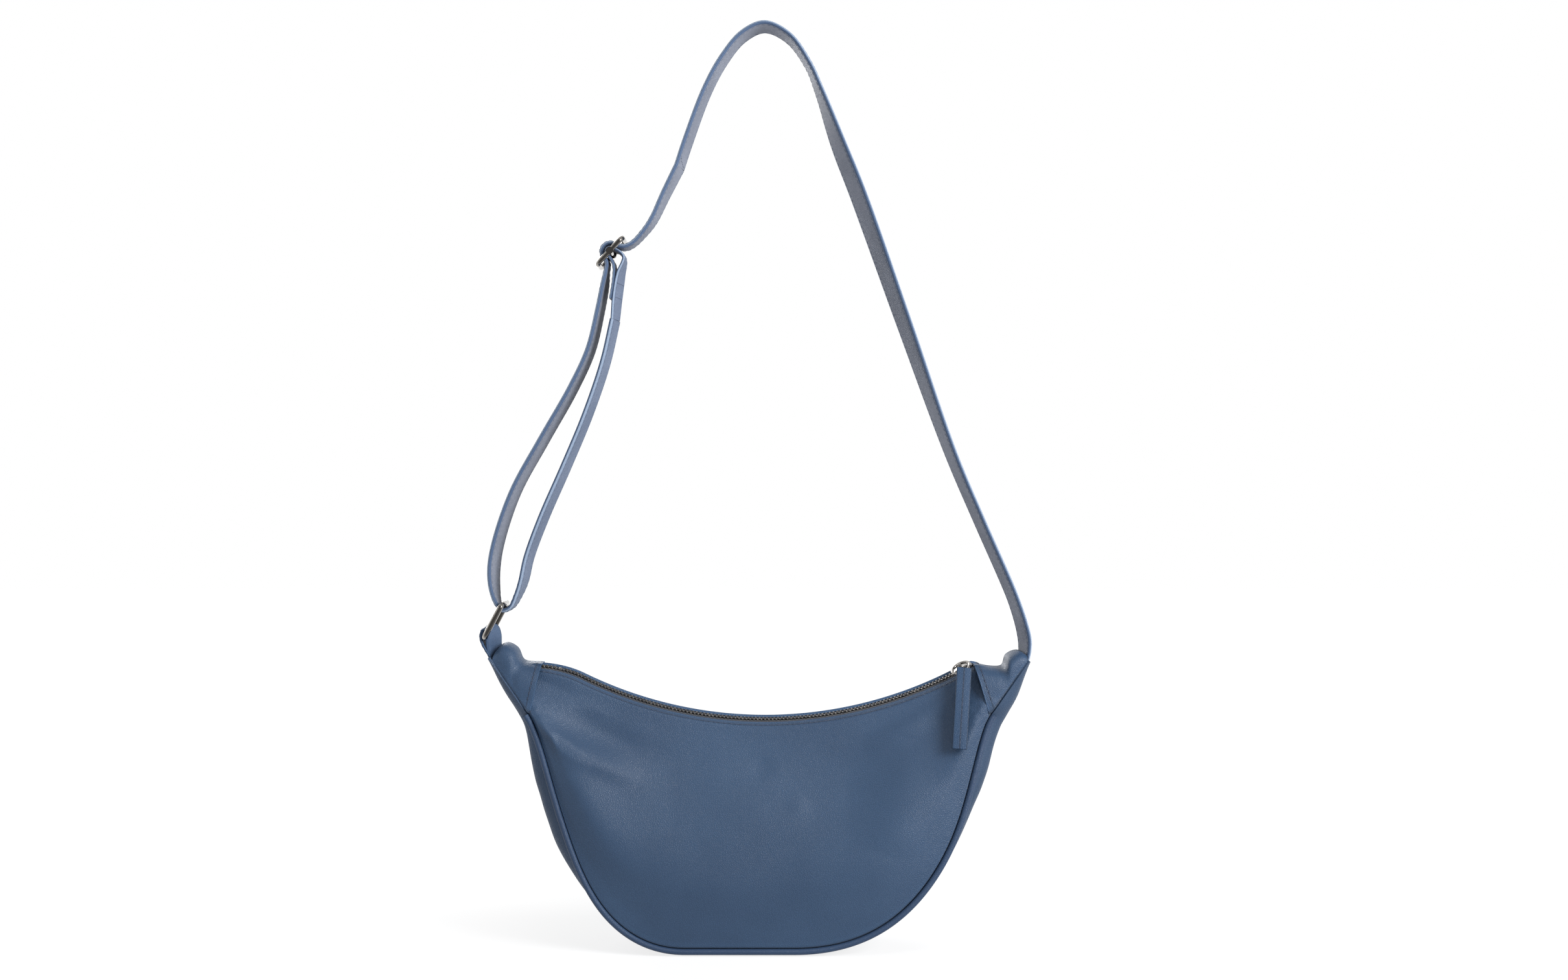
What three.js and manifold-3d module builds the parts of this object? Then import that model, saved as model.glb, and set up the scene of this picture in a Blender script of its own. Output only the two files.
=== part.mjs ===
// Half-moon leather sling bag with a zip along its curved mouth and one long adjustable shoulder strap.
// Millimetres, +Z up, +X to the bag's right as seen from the front, front of the bag towards -Y.
// The bag is drawn with its base at z = 0 and then placed below the point where its strap hangs.
import * as THREE from "three";
import { mergeVertices } from "three/addons/utils/BufferGeometryUtils.js";
import Module from "manifold-3d";

const wasm = await Module();
wasm.setup();

// Driving dimensions of the bag body
const LEATHER = 1.6; // thickness of the panels, gusset and end caps
const LINING = 0.8; // thickness of the lining cloth
const GAP = 0.3; // clearance between pieces that are sewn or seated together
const LINING_GAP = 0.4; // clearance between leather and lining
const BASE_END = { left: 45, right: 24 }; // straight part of the bottom seam, from its middle
const BASE_SHIFT = -2.2; // the lower bag hangs a little to the left of the middle
const SHIFT_FADE = [15, 85]; // heights between which the shift dies out
const BASE_HALF_DEPTH = 34; // half the gusset's width at the base
const JOINT_HALF_DEPTH = 18; // half the gusset's width where the end caps begin
const TIP_HALF_DEPTH = 12.5; // half the gusset's width at the tips
const DEPTH_TAPER = 1.2; // power of the gusset's narrowing from base to joint
const BASE_RISE = 3.7; // height of the bottom seam above the base
const JOINT = { x: 148.6, z: 150.8 }; // where panel, end cap and gusset meet
const TIP = { x: 172.8, z: 184 }; // end of the gusset seam
// Handles of the seam's curve: along the base at each hand, and below the joint
const SEAM_REACH = { left: 78, right: 111, joint: { x: 18.8, z: 23.4 } };
const BASE_FLAT_SHARE = 0.72; // share of the gusset's width that is fully swollen or flat
const SIDE_PUFF = 5.5; // how far the gusset swells past its seams at the sides
const LEFT_SWELL = { more: 6.3, grows: [20, 80], fades: [106, 162] }; // and more on the left, by height
const RIGHT_SWELL = { more: 5.4, grows: [70, 120], fades: [140, 190] }; // and on the right
const PANEL_PUFF = 3; // how far the panels swell past a straight drape
const PANEL_DRAPE = 0.75; // power of the panels' slope from the mouth to the seam
const SEAM_INSET = 0.8; // panel edge inside the seam line
const PIPING_RADIUS = 2;
const PIPING_OFFSET = 1.5; // piping centre outside the seam and in front of the gusset's edge

// Driving dimensions of the mouth and its zip
const ZIP_RADIUS = 270; // the zip follows a circular arc in the front view
const ZIP_MIDDLE = 3.3; // x of the arc's centre
const ZIP_LOW = 145; // lowest point of the zip's centre line
const ZIP_TILT = THREE.MathUtils.degToRad(12); // the teeth face up and a little forward
const ZIP_BEND = 4.1; // from the zip's centre to where the tapes bend
const FRONT_FALL = THREE.MathUtils.degToRad(45); // slope of the front tape and hem past the bend
const BACK_FALL = THREE.MathUtils.degToRad(-10); // and of the back ones, falling to the back
const ZIP_END = { left: THREE.MathUtils.degToRad(31.3), right: THREE.MathUtils.degToRad(30.6) }; // tape ends
// Past these angles the mouth sinks below the arc, by a rate times the length squared
const DROOP_FROM = { left: THREE.MathUtils.degToRad(28.3), right: THREE.MathUtils.degToRad(29.4) };
const DROOP = { left: 0.03, right: 0.11 };
const HEM_HALF_GAP = 4.6; // from the zip's centre to the hems
const HEM_THICKNESS = 0.9; // the leather is thinned at its hem
const SHOULDER = 9; // from the zip's centre to where the panels turn down
const TAPE_HALF_WIDTH = 5.4;
const TAPE_THICKNESS = 0.5;
const CHAIN_HALF_WIDTH = 2.6;
const CHAIN_HALF_HEIGHT = 1.1;
const CHAIN_END = THREE.MathUtils.degToRad(28.9);
const STOP_LENGTH = 2.4;

// Driving dimensions of the slider and its pull
const SLIDER_ANGLE = THREE.MathUtils.degToRad(28.2); // closed, near the right end
const SLIDER_LENGTH = 10;
const SLIDER_HALF_WIDTH = 3.9;
const SLIDER_PLATE = 1.2;
const SLIDER_CLEARANCE = 0.35; // between the slider's plates and the teeth
const SLIDER_POST = { length: 1.6, width: 2.2 };
const CROWN_WIDTH = 2.4;
const CROWN_HEIGHT = 4.4;
const CROWN_WALL = 1.1;
const PULL_RING_RADIUS = 6.1; // to the middle of the wire
const PULL_WIRE = 0.9;
const PULL_FALL = THREE.MathUtils.degToRad(8); // the ring lies forward, lower than the slider's plates
const TAB = { width: 9.6, length: 51, thickness: 2.2 };
const TAB_EYE = { radius: 2.1, wall: 0.8, width: 2.2 };
const TAB_TILT = THREE.MathUtils.degToRad(12); // the tab rests out over the front panel
const TAB_LEAN = THREE.MathUtils.degToRad(5);

// Driving dimensions of the strap and its metal
const STRAP_WIDTH = 22;
const STRAP_THICKNESS = 3;
const STRAP_END_THICKNESS = 2; // the strap is thinned where it is sewn round the buckle's bar
const HANG_X = 3; // the strap hangs a little to the right of the bag's middle
const HANG_Z = 592.7; // underside of the strap at its highest point
const RING_BAR = { lower: [-176.9, 199.1], upper: [-165.7, 220.5] }; // bar centres, x and z
const RING_WIRE = 3.2;
const RING_INNER_WIDTH = 25;
const BUCKLE_CENTRE = [-96.4, 447.6];
const BUCKLE_SLOPE = Math.atan2(0.733, 0.68); // direction of the buckle, from +X towards +Z
const BUCKLE_HALF_LENGTH = 12.9;
const BUCKLE_INNER_WIDTH = 24;
const BUCKLE_WIRE = 3;
const RING_TAB_THICKNESS = 2;
const FRAME_CORNER = 5; // outer corner radius of the ring and the buckle
const FRAME_BEVEL = 0.9;
const SLOT_CORNER = 1.5;

// Colours and finishes
function finish(color, roughness, metalness) {
  return new THREE.MeshStandardMaterial({ color, roughness, metalness });
}
const leather = finish(0x3f5a80, 0.5, 0);
const pipingLeather = finish(0x3a5478, 0.5, 0);
const strapLeather = finish(0x5a6f92, 0.55, 0);
const liningCloth = finish(0x2c3340, 0.9, 0);
const zipTape = finish(0x2f4463, 0.85, 0);
const zipMetal = finish(0x4a443c, 0.4, 0.9);
const gunmetal = finish(0x3c3a3a, 0.25, 1);

const bag = new THREE.Group();
bag.position.set(-HANG_X, 0, -HANG_Z);

function addPiece(name, geometry, material) {
  const mesh = new THREE.Mesh(geometry, material);
  mesh.name = name;
  bag.add(mesh);
  return mesh;
}

// Shared ways of making solids

function signedVolume(points, triangles) {
  const cross = new THREE.Vector3();
  let volume = 0;
  for (let i = 0; i < triangles.length; i += 3) {
    cross.crossVectors(points[triangles[i + 1]], points[triangles[i + 2]]);
    volume += points[triangles[i]].dot(cross) / 6;
  }
  return volume;
}

// A closed solid from rings of points, each with an even count, joined one to the next.
function loft(rings) {
  const count = rings[0].length;
  const points = rings.flat();
  const triangles = [];
  const quad = (a, b, c, d) => triangles.push(a, b, c, a, c, d);
  for (let i = 0; i < rings.length - 1; i++) {
    const here = i * count;
    const next = here + count;
    for (let j = 0; j < count; j++) {
      const k = (j + 1) % count;
      quad(here + j, here + k, next + k, next + j);
    }
  }
  const last = (rings.length - 1) * count;
  for (let j = 0; j < count / 2 - 1; j++) {
    const across = count - 1 - j;
    quad(j, across, across - 1, j + 1);
    quad(last + j, last + j + 1, last + across - 1, last + across);
  }
  if (signedVolume(points, triangles) < 0) triangles.reverse();
  const geometry = new THREE.BufferGeometry().setFromPoints(points);
  geometry.setIndex(triangles);
  geometry.computeVertexNormals();
  return geometry;
}

// A grid of surface points moved square to its surface, against side * (du x dv).
function sink(grid, distance, side) {
  const along = new THREE.Vector3();
  const across = new THREE.Vector3();
  return grid.map((row, i) => {
    const before = grid[Math.max(i - 1, 0)];
    const after = grid[Math.min(i + 1, grid.length - 1)];
    return row.map((point, j) => {
      along.subVectors(after[j], before[j]);
      across.subVectors(row[Math.min(j + 1, row.length - 1)], row[Math.max(j - 1, 0)]);
      const normal = new THREE.Vector3().crossVectors(along, across).normalize();
      return point.clone().addScaledVector(normal, -side * distance);
    });
  });
}

// A sheet under a grid of surface points, thinner along its first column if a hem is given.
function shell(grid, thickness, side, hem = thickness) {
  const inner = sink(grid, thickness, side);
  const thinned = sink(grid, hem, side);
  return loft(grid.map((row, i) => [...row, ...inner[i].slice(1).reverse(), thinned[i][0]]));
}

const STRAP_STEPS = 3; // rings between two stops of a strap
// A flat strap along a route in the XZ plane. Each stop is [x, z, roll]: roll turns its width out of Y.
function strapAlong(stops, width, thickness) {
  const steps = STRAP_STEPS * (stops.length - 1);
  const route = new THREE.CatmullRomCurve3(stops.map(([x, z]) => new THREE.Vector3(x, 0, z)));
  const rolls = new THREE.CatmullRomCurve3(stops.map(([, , roll = 0], i) => new THREE.Vector3(i, roll, 0)));
  const rings = [];
  for (let i = 0; i <= steps; i++) {
    const share = i / steps;
    const centre = route.getPoint(share);
    const tangent = route.getTangent(share);
    const roll = THREE.MathUtils.degToRad(rolls.getPoint(share).y);
    const flat = new THREE.Vector3(0, 1, 0).applyAxisAngle(tangent, roll).multiplyScalar(width / 2);
    const thick = new THREE.Vector3().crossVectors(tangent, flat).setLength(thickness / 2);
    const corner = (a, b) => centre.clone().addScaledVector(flat, a).addScaledVector(thick, b);
    rings.push([corner(-1, -1), corner(1, -1), corner(1, 1), corner(-1, 1)]);
  }
  return loft(rings);
}

// Stops on a circular arc in the XZ plane, between two angles from +X towards +Z, in degrees.
function arcStops([x, z], radius, from, to, count) {
  return Array.from({ length: count + 1 }, (_, i) => {
    const angle = THREE.MathUtils.degToRad(from + ((to - from) * i) / count);
    return [x + radius * Math.cos(angle), z + radius * Math.sin(angle)];
  });
}

// Boolean union of closed geometries.
function join(...geometries) {
  const solids = geometries.map((geometry) => {
    const bare = new THREE.BufferGeometry().setAttribute("position", geometry.getAttribute("position"));
    if (geometry.index) bare.setIndex(geometry.index);
    const merged = mergeVertices(bare, 1e-3);
    return new wasm.Manifold(
      new wasm.Mesh({
        numProp: 3,
        vertProperties: new Float32Array(merged.getAttribute("position").array),
        triVerts: new Uint32Array(merged.index.array),
      }),
    );
  });
  const mesh = solids.reduce((sum, solid) => sum.add(solid)).getMesh();
  const geometry = new THREE.BufferGeometry();
  geometry.setAttribute("position", new THREE.BufferAttribute(mesh.vertProperties, 3));
  geometry.setIndex(new THREE.BufferAttribute(mesh.triVerts, 1));
  geometry.computeVertexNormals();
  return geometry;
}

function roundedRect(path, halfX, halfY, radius) {
  path.moveTo(halfX - radius, -halfY);
  path.absarc(halfX - radius, -halfY + radius, radius, -Math.PI / 2, 0);
  path.absarc(halfX - radius, halfY - radius, radius, 0, Math.PI / 2);
  path.absarc(-halfX + radius, halfY - radius, radius, Math.PI / 2, Math.PI);
  path.absarc(-halfX + radius, -halfY + radius, radius, Math.PI, 1.5 * Math.PI);
  path.closePath();
  return path;
}

// A flat bar shape with bevelled edges, drawn in XY and centred on its thickness.
function bevelledPlate(shape, thickness, bevel, curveSegments) {
  const depth = thickness - 2 * bevel;
  const options = { depth, bevelThickness: bevel, bevelSize: bevel, bevelOffset: -bevel };
  const plate = new THREE.ExtrudeGeometry(shape, { ...options, bevelSegments: 1, curveSegments });
  return plate.translate(0, 0, -depth / 2);
}

// A flat plate with square edges, drawn in XY and centred on its thickness.
function plainPlate(shape, thickness) {
  const options = { depth: thickness, bevelEnabled: false, curveSegments: 8 };
  return new THREE.ExtrudeGeometry(shape, options).translate(0, 0, -thickness / 2);
}

// The seam line round the bag, from the left tip to the right tip

const UPPER_STEPS = 6;
const LOWER_STEPS = 13;
const BASE_STEPS = 4;
const lowerSeam = (word) =>
  new THREE.CubicBezierCurve3(
    new THREE.Vector3(BASE_END[word], 0, BASE_RISE),
    new THREE.Vector3(BASE_END[word] + SEAM_REACH[word], 0, BASE_RISE),
    new THREE.Vector3(JOINT.x - SEAM_REACH.joint.x, 0, JOINT.z - SEAM_REACH.joint.z),
    new THREE.Vector3(JOINT.x, 0, JOINT.z),
  );
const upperSeam = new THREE.LineCurve3(
  new THREE.Vector3(JOINT.x, 0, JOINT.z),
  new THREE.Vector3(TIP.x, 0, TIP.z),
);

function halfDepth(z) {
  if (z > JOINT.z) {
    const share = (z - JOINT.z) / (TIP.z - JOINT.z);
    return THREE.MathUtils.lerp(JOINT_HALF_DEPTH, TIP_HALF_DEPTH, share);
  }
  const share = (z - BASE_RISE) / (JOINT.z - BASE_RISE);
  return THREE.MathUtils.lerp(BASE_HALF_DEPTH, JOINT_HALF_DEPTH, share ** DEPTH_TAPER);
}

function seamPoints() {
  const sideOf = (word) => [
    ...lowerSeam(word).getSpacedPoints(LOWER_STEPS),
    ...upperSeam.getSpacedPoints(UPPER_STEPS).slice(1),
  ];
  const right = sideOf("right");
  const left = sideOf("left").map((p) => new THREE.Vector3(-p.x, 0, p.z)).reverse();
  const base = Array.from({ length: BASE_STEPS - 1 }, (_, i) => {
    const x = THREE.MathUtils.lerp(-BASE_END.left, BASE_END.right, (i + 1) / BASE_STEPS);
    return new THREE.Vector3(x, 0, BASE_RISE);
  });
  const points = [...left, ...base, ...right];
  for (const point of points) point.x += BASE_SHIFT * (1 - THREE.MathUtils.smoothstep(point.z, ...SHIFT_FADE));
  return points;
}

const seam = seamPoints().map((point, i, all) => {
  const tangent = new THREE.Vector3()
    .subVectors(all[Math.min(i + 1, all.length - 1)], all[Math.max(i - 1, 0)])
    .normalize();
  const out = new THREE.Vector3(tangent.z, 0, -tangent.x);
  if (point.z <= BASE_RISE) out.set(0, 0, -1);
  return { point, out, half: halfDepth(point.z) };
});
const bodySeam = seam.slice(UPPER_STEPS, seam.length - UPPER_STEPS);
const seamAt = (station, outward, y) => station.point.clone().addScaledVector(station.out, outward).setY(y);

// The gusset swells past the seams, most at the sides, and lies flat on the base
const PUFF_FADE = [JOINT.z + 10, TIP.z + 14]; // heights between which the swelling dies out
function puffAt({ x, z }) {
  const rise = THREE.MathUtils.smoothstep(z, BASE_RISE, JOINT.z / 2);
  const fade = 1 - THREE.MathUtils.smoothstep(z, ...PUFF_FADE);
  const { more, grows, fades } = x < 0 ? LEFT_SWELL : RIGHT_SWELL;
  const extra = more * THREE.MathUtils.smoothstep(z, ...grows) * (1 - THREE.MathUtils.smoothstep(z, ...fades));
  return THREE.MathUtils.lerp(BASE_RISE, SIDE_PUFF, rise) * fade + extra;
}

function gussetGrid(inset, stations) {
  const across = [-1, -BASE_FLAT_SHARE, 0, BASE_FLAT_SHARE, 1];
  return stations.map((station) => {
    const puff = puffAt(station.point);
    return across.map((share) => {
      const swell = Math.abs(share) === 1 ? 0 : puff;
      return seamAt(station, swell - inset, share * (station.half - inset));
    });
  });
}

addPiece("gusset", shell(gussetGrid(0, seam), LEATHER, -1), leather);
const liningInset = LEATHER + LINING_GAP;
addPiece("lining_gusset", shell(gussetGrid(liningInset, bodySeam), LINING, -1), liningCloth);

// Points of the mouth, which is turned about the zip's centre and bends down past the slider:
// angle along the arc, across (front is negative) and lift square to the tapes
const zipCentreZ = ZIP_LOW + ZIP_RADIUS;
function mouthPoint(angle, across, lift) {
  const flat = THREE.MathUtils.clamp(across, -ZIP_BEND, ZIP_BEND);
  const rest = across - flat;
  const fall = rest < 0 ? FRONT_FALL : rest > 0 ? BACK_FALL : ZIP_TILT;
  const y = flat * Math.cos(ZIP_TILT) + rest * Math.cos(fall) - lift * Math.sin(fall);
  const rise = flat * Math.sin(ZIP_TILT) + rest * Math.sin(fall) + lift * Math.cos(fall);
  const hand = angle < 0 ? "left" : "right";
  const past = ZIP_RADIUS * Math.max(0, Math.abs(angle) - DROOP_FROM[hand]);
  const radius = ZIP_RADIUS - rise + DROOP[hand] * past ** 2;
  return new THREE.Vector3(ZIP_MIDDLE + radius * Math.sin(angle), y, zipCentreZ - radius * Math.cos(angle));
}

// Angles along the mouth, evenly spaced as far as the slider's end, one for each place on the seam
const mouthAngles = bodySeam.map((_, i) => {
  const share = i / (bodySeam.length - 2);
  return share > 1 ? ZIP_END.right : THREE.MathUtils.lerp(-ZIP_END.left, DROOP_FROM.right, share);
});

// Front and back panels, from the hem over the shoulder down to the seam

const HEM_LIFT = TAPE_THICKNESS / 2 + GAP + HEM_THICKNESS;
const DRAPE_STEPS = 6;
function panelGrid(side) {
  return bodySeam.map((station, i) => {
    const hem = mouthPoint(mouthAngles[i], side * HEM_HALF_GAP, HEM_LIFT);
    const shoulder = mouthPoint(mouthAngles[i], side * SHOULDER, HEM_LIFT);
    const foot = seamAt(station, -SEAM_INSET, side * (station.half + GAP + LEATHER));
    const swell = PANEL_PUFF * Math.min(1, shoulder.distanceTo(foot) / JOINT.z);
    const row = [hem];
    for (let j = 0; j <= DRAPE_STEPS; j++) {
      const share = j / DRAPE_STEPS;
      const point = shoulder.clone().lerp(foot, share);
      const drape = THREE.MathUtils.lerp(shoulder.y, foot.y, share ** PANEL_DRAPE);
      point.y = drape + side * swell * Math.sin(Math.PI * share);
      row.push(point);
    }
    return row;
  });
}

// The lining lies behind the panel, from below the shoulder to just short of the gusset
function liningGrid(side) {
  const behind = sink(panelGrid(side), liningInset, side).slice(1, -1);
  return behind.map((row) => {
    const [foot, above] = [row[row.length - 1], row[row.length - 2]];
    const trimmed = foot.clone().addScaledVector(above.clone().sub(foot).normalize(), liningInset);
    return [...row.slice(2, -1), trimmed];
  });
}

for (const [word, side] of [["front", -1], ["back", 1]]) {
  addPiece(`${word}_panel`, shell(panelGrid(side), LEATHER, side, HEM_THICKNESS), leather);
  addPiece(`lining_${word}`, shell(liningGrid(side), LINING, side), liningCloth);
}

// Piping in the two seams

const PIPING_SIDES = 6;
function piping(side) {
  const rings = bodySeam.map((station) => {
    const centre = seamAt(station, PIPING_OFFSET, side * (station.half + PIPING_OFFSET));
    return Array.from({ length: PIPING_SIDES }, (_, i) => {
      const turn = (2 * Math.PI * i) / PIPING_SIDES;
      const outward = station.out.clone().multiplyScalar(PIPING_RADIUS * Math.cos(turn));
      return centre.clone().add(outward).add(new THREE.Vector3(0, PIPING_RADIUS * Math.sin(turn), 0));
    });
  });
  return loft(rings);
}

addPiece("front_piping", piping(-1), pipingLeather);
addPiece("back_piping", piping(1), pipingLeather);

// End caps, folded over the zip's ends from the front seam to the back seam

const CAP_STEPS = 8;
const CAP_ARCH_STEPS = 12;
// The top of each cap: the dip is measured from the joint and the hem's end, the peak and end from the tip
const CAP_TOP = {
  left: { dip: { x: 1.4, z: 1.8 }, peak: { x: -9, z: 11.4 }, end: { x: -3.2, z: 5.8 } },
  right: { dip: { x: 2, z: -2.4 }, peak: { x: -9, z: 6.2 }, end: { x: -1.8, z: 3.6 } },
};
const CAP_RISE_POWER = 0.7; // under 1 makes the arch fuller than a half ellipse
const CAP_SWING_POWER = 0.9;
const CAP_GAP = 1.2; // from the panel's edge to the cap's
const CAP_SKEW = 1; // the arch stands higher at the back, as the mouth does
const panelJoint = seamAt(bodySeam[bodySeam.length - 1], -SEAM_INSET, 0);

// An end cap is drawn at the right end and mirrored for the left one, where hand is -1
function endCap(word, hand) {
  const hemEnd = mouthPoint(hand * ZIP_END[word], -HEM_HALF_GAP, HEM_LIFT);
  const hemTop = mouthPoint(hand * ZIP_END[word], HEM_HALF_GAP, HEM_LIFT).z;
  // x of the sewn edge between panel and cap at a height
  const capEdge = (z) => {
    const share = (z - panelJoint.z) / (hemEnd.z - panelJoint.z);
    return THREE.MathUtils.lerp(panelJoint.x, hand * hemEnd.x, share) + CAP_GAP;
  };
  const { dip, peak, end } = CAP_TOP[word];
  const top = new THREE.CatmullRomCurve3([
    new THREE.Vector3(capEdge(hemTop), 0, hemTop),
    new THREE.Vector3(JOINT.x + dip.x, 0, hemTop + dip.z),
    new THREE.Vector3(TIP.x + peak.x, 0, TIP.z + peak.z),
    new THREE.Vector3(TIP.x + end.x, 0, TIP.z + end.z),
  ]);
  const upper = seam.slice(seam.length - 1 - UPPER_STEPS);
  const grid = Array.from({ length: CAP_STEPS + 1 }, (_, i) => {
    const share = i / CAP_STEPS;
    const foot = upperSeam.getPointAt(share);
    const out = upper[Math.round(share * UPPER_STEPS)].out;
    foot.addScaledVector(out, -SEAM_INSET);
    const half = halfDepth(foot.z) + GAP + LEATHER;
    const crown = top.getPointAt(share);
    return Array.from({ length: CAP_ARCH_STEPS + 1 }, (_, j) => {
      const turn = (Math.PI * j) / CAP_ARCH_STEPS;
      const rise = Math.sin(turn) ** CAP_RISE_POWER;
      const swing = -Math.cos(turn);
      const point = foot.clone().lerp(crown, rise);
      point.z += CAP_SKEW * swing * rise * (1 - share);
      const edge = capEdge(point.z);
      if (i === 0 || point.x < edge) point.x = edge;
      point.y = half * Math.sign(swing) * Math.abs(swing) ** CAP_SWING_POWER;
      point.x *= hand;
      return point;
    });
  });
  return shell(grid, LEATHER, hand);
}

addPiece("right_end_cap", endCap("right", 1), leather);
addPiece("left_end_cap", endCap("left", -1), leather);

// Zip tapes, tooth strips and stops, turned about the centre of the zip's arc

function mouthStrip(across, lift, angles) {
  const rings = angles.map((angle) => {
    const under = across.map((s) => mouthPoint(angle, s, lift[0]));
    const over = across.map((s) => mouthPoint(angle, s, lift[1]));
    return [...under, ...over.reverse()];
  });
  return loft(rings);
}

const tapeLift = [-TAPE_THICKNESS / 2, TAPE_THICKNESS / 2];
const tapeEdge = CHAIN_HALF_WIDTH + GAP;
const toothLift = [-CHAIN_HALF_HEIGHT, CHAIN_HALF_HEIGHT];
const sliderHalfAngle = SLIDER_LENGTH / 2 / ZIP_RADIUS;
const postAngle = SLIDER_ANGLE + sliderHalfAngle - (SLIDER_POST.length + GAP) / ZIP_RADIUS;
const between = mouthAngles.filter((angle) => angle > -CHAIN_END && angle < postAngle);
const chainAngles = [-CHAIN_END, ...between, postAngle];
for (const [word, side] of [["front", -1], ["back", 1]]) {
  const tape = [tapeEdge, ZIP_BEND, TAPE_HALF_WIDTH].map((s) => side * s);
  addPiece(`zip_tape_${word}`, mouthStrip(tape, tapeLift, mouthAngles), zipTape);
  const strip = [GAP / 2, CHAIN_HALF_WIDTH].map((s) => side * s);
  addPiece(`zip_teeth_${word}`, mouthStrip(strip, toothLift, chainAngles), zipMetal);
  const stopFrom = SLIDER_ANGLE + sliderHalfAngle + GAP / ZIP_RADIUS;
  const stopTo = stopFrom + STOP_LENGTH / ZIP_RADIUS;
  addPiece(`zip_top_stop_${word}`, mouthStrip(strip, toothLift, [stopFrom, stopTo]), zipMetal);
}
const bottomStop = -CHAIN_END - GAP / ZIP_RADIUS;
const bottomWidth = [-CHAIN_HALF_WIDTH, CHAIN_HALF_WIDTH];
const bottomEnd = bottomStop - STOP_LENGTH / ZIP_RADIUS;
addPiece("zip_bottom_stop", mouthStrip(bottomWidth, toothLift, [bottomEnd, bottomStop]), zipMetal);

// Slider, drawn with its length along X, front towards -Y, and turned onto the zip

const onZip = new THREE.Matrix4()
  .makeTranslation(ZIP_MIDDLE, 0, zipCentreZ)
  .multiply(new THREE.Matrix4().makeRotationY(-SLIDER_ANGLE))
  .multiply(new THREE.Matrix4().makeTranslation(0, 0, -ZIP_RADIUS))
  .multiply(new THREE.Matrix4().makeRotationX(ZIP_TILT));

const plateLift = CHAIN_HALF_HEIGHT + SLIDER_CLEARANCE;
const plateTop = plateLift + SLIDER_PLATE;
function sliderBody() {
  const plate = new THREE.BoxGeometry(SLIDER_LENGTH, 2 * SLIDER_HALF_WIDTH, SLIDER_PLATE);
  const upper = plate.clone().translate(0, 0, plateLift + SLIDER_PLATE / 2);
  const lower = plate.clone().translate(0, 0, -plateLift - SLIDER_PLATE / 2);
  const post = new THREE.BoxGeometry(SLIDER_POST.length, SLIDER_POST.width, 2 * plateTop - SLIDER_PLATE);
  post.translate(SLIDER_LENGTH / 2 - SLIDER_POST.length / 2, 0, 0);
  const flangeHeight = plateTop - TAPE_THICKNESS / 2 - SLIDER_CLEARANCE;
  const flangeWidth = SLIDER_HALF_WIDTH - CHAIN_HALF_WIDTH - SLIDER_CLEARANCE;
  const flanges = [-1, 1].flatMap((side) =>
    [-1, 1].map((face) => {
      const flange = new THREE.BoxGeometry(SLIDER_LENGTH, flangeWidth, flangeHeight);
      const y = side * (SLIDER_HALF_WIDTH - flangeWidth / 2);
      return flange.translate(0, y, face * (plateTop - flangeHeight / 2));
    }),
  );
  const arch = new THREE.Shape();
  const reach = SLIDER_HALF_WIDTH;
  arch.moveTo(-reach, 0);
  arch.absellipse(0, 0, reach, CROWN_HEIGHT, Math.PI, 0, true);
  arch.lineTo(reach - CROWN_WALL, 0);
  arch.absellipse(0, 0, reach - CROWN_WALL, CROWN_HEIGHT - CROWN_WALL, 0, Math.PI, false);
  arch.closePath();
  const crown = plainPlate(arch, CROWN_WIDTH);
  crown.rotateX(Math.PI / 2).rotateZ(Math.PI / 2);
  crown.translate(0, 0, plateTop - CROWN_WALL / 2);
  return join(upper, lower, post, ...flanges, crown).applyMatrix4(onZip);
}

addPiece("slider_body", sliderBody(), gunmetal);

// Round pull ring through the crown, lying forward over the front hem
const ringLift = plateTop + (CROWN_HEIGHT - CROWN_WALL) / 2;
const pullRing = new THREE.TorusGeometry(PULL_RING_RADIUS, PULL_WIRE, 6, 24);
pullRing.translate(0, -PULL_RING_RADIUS, 0).rotateX(PULL_FALL).translate(0, 0, ringLift);
addPiece("pull_ring", pullRing.applyMatrix4(onZip), gunmetal);

// Leather pull tab: a doubled strip with a narrow eye behind its top, hung on the ring's front
const tabAxis = new THREE.Vector3(1, 0, 0); // the ring is turned about the zip's line
function pullTab() {
  const plate = new THREE.BoxGeometry(TAB.width, TAB.thickness, TAB.length);
  const plateY = -TAB_EYE.radius - TAB.thickness / 2;
  plate.translate(0, plateY, TAB_EYE.radius - TAB.length / 2);
  const ring = new THREE.Shape().absarc(0, 0, TAB_EYE.radius + TAB_EYE.wall, 0, 2 * Math.PI);
  ring.holes.push(new THREE.Path().absarc(0, 0, TAB_EYE.radius, 0, 2 * Math.PI));
  const eye = plainPlate(ring, TAB_EYE.width).rotateY(Math.PI / 2);
  const tab = join(plate, eye).rotateX(-TAB_TILT).rotateY(TAB_LEAN);
  const hook = new THREE.Vector3(0, -2 * PULL_RING_RADIUS, 0).applyAxisAngle(tabAxis, PULL_FALL);
  hook.setZ(hook.z + ringLift).applyMatrix4(onZip);
  return tab.translate(hook.x, hook.y, hook.z);
}

addPiece("pull_tab", pullTab(), leather);

// Ring tab at the left tip: a leather loop round the ring's lower bar

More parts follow.
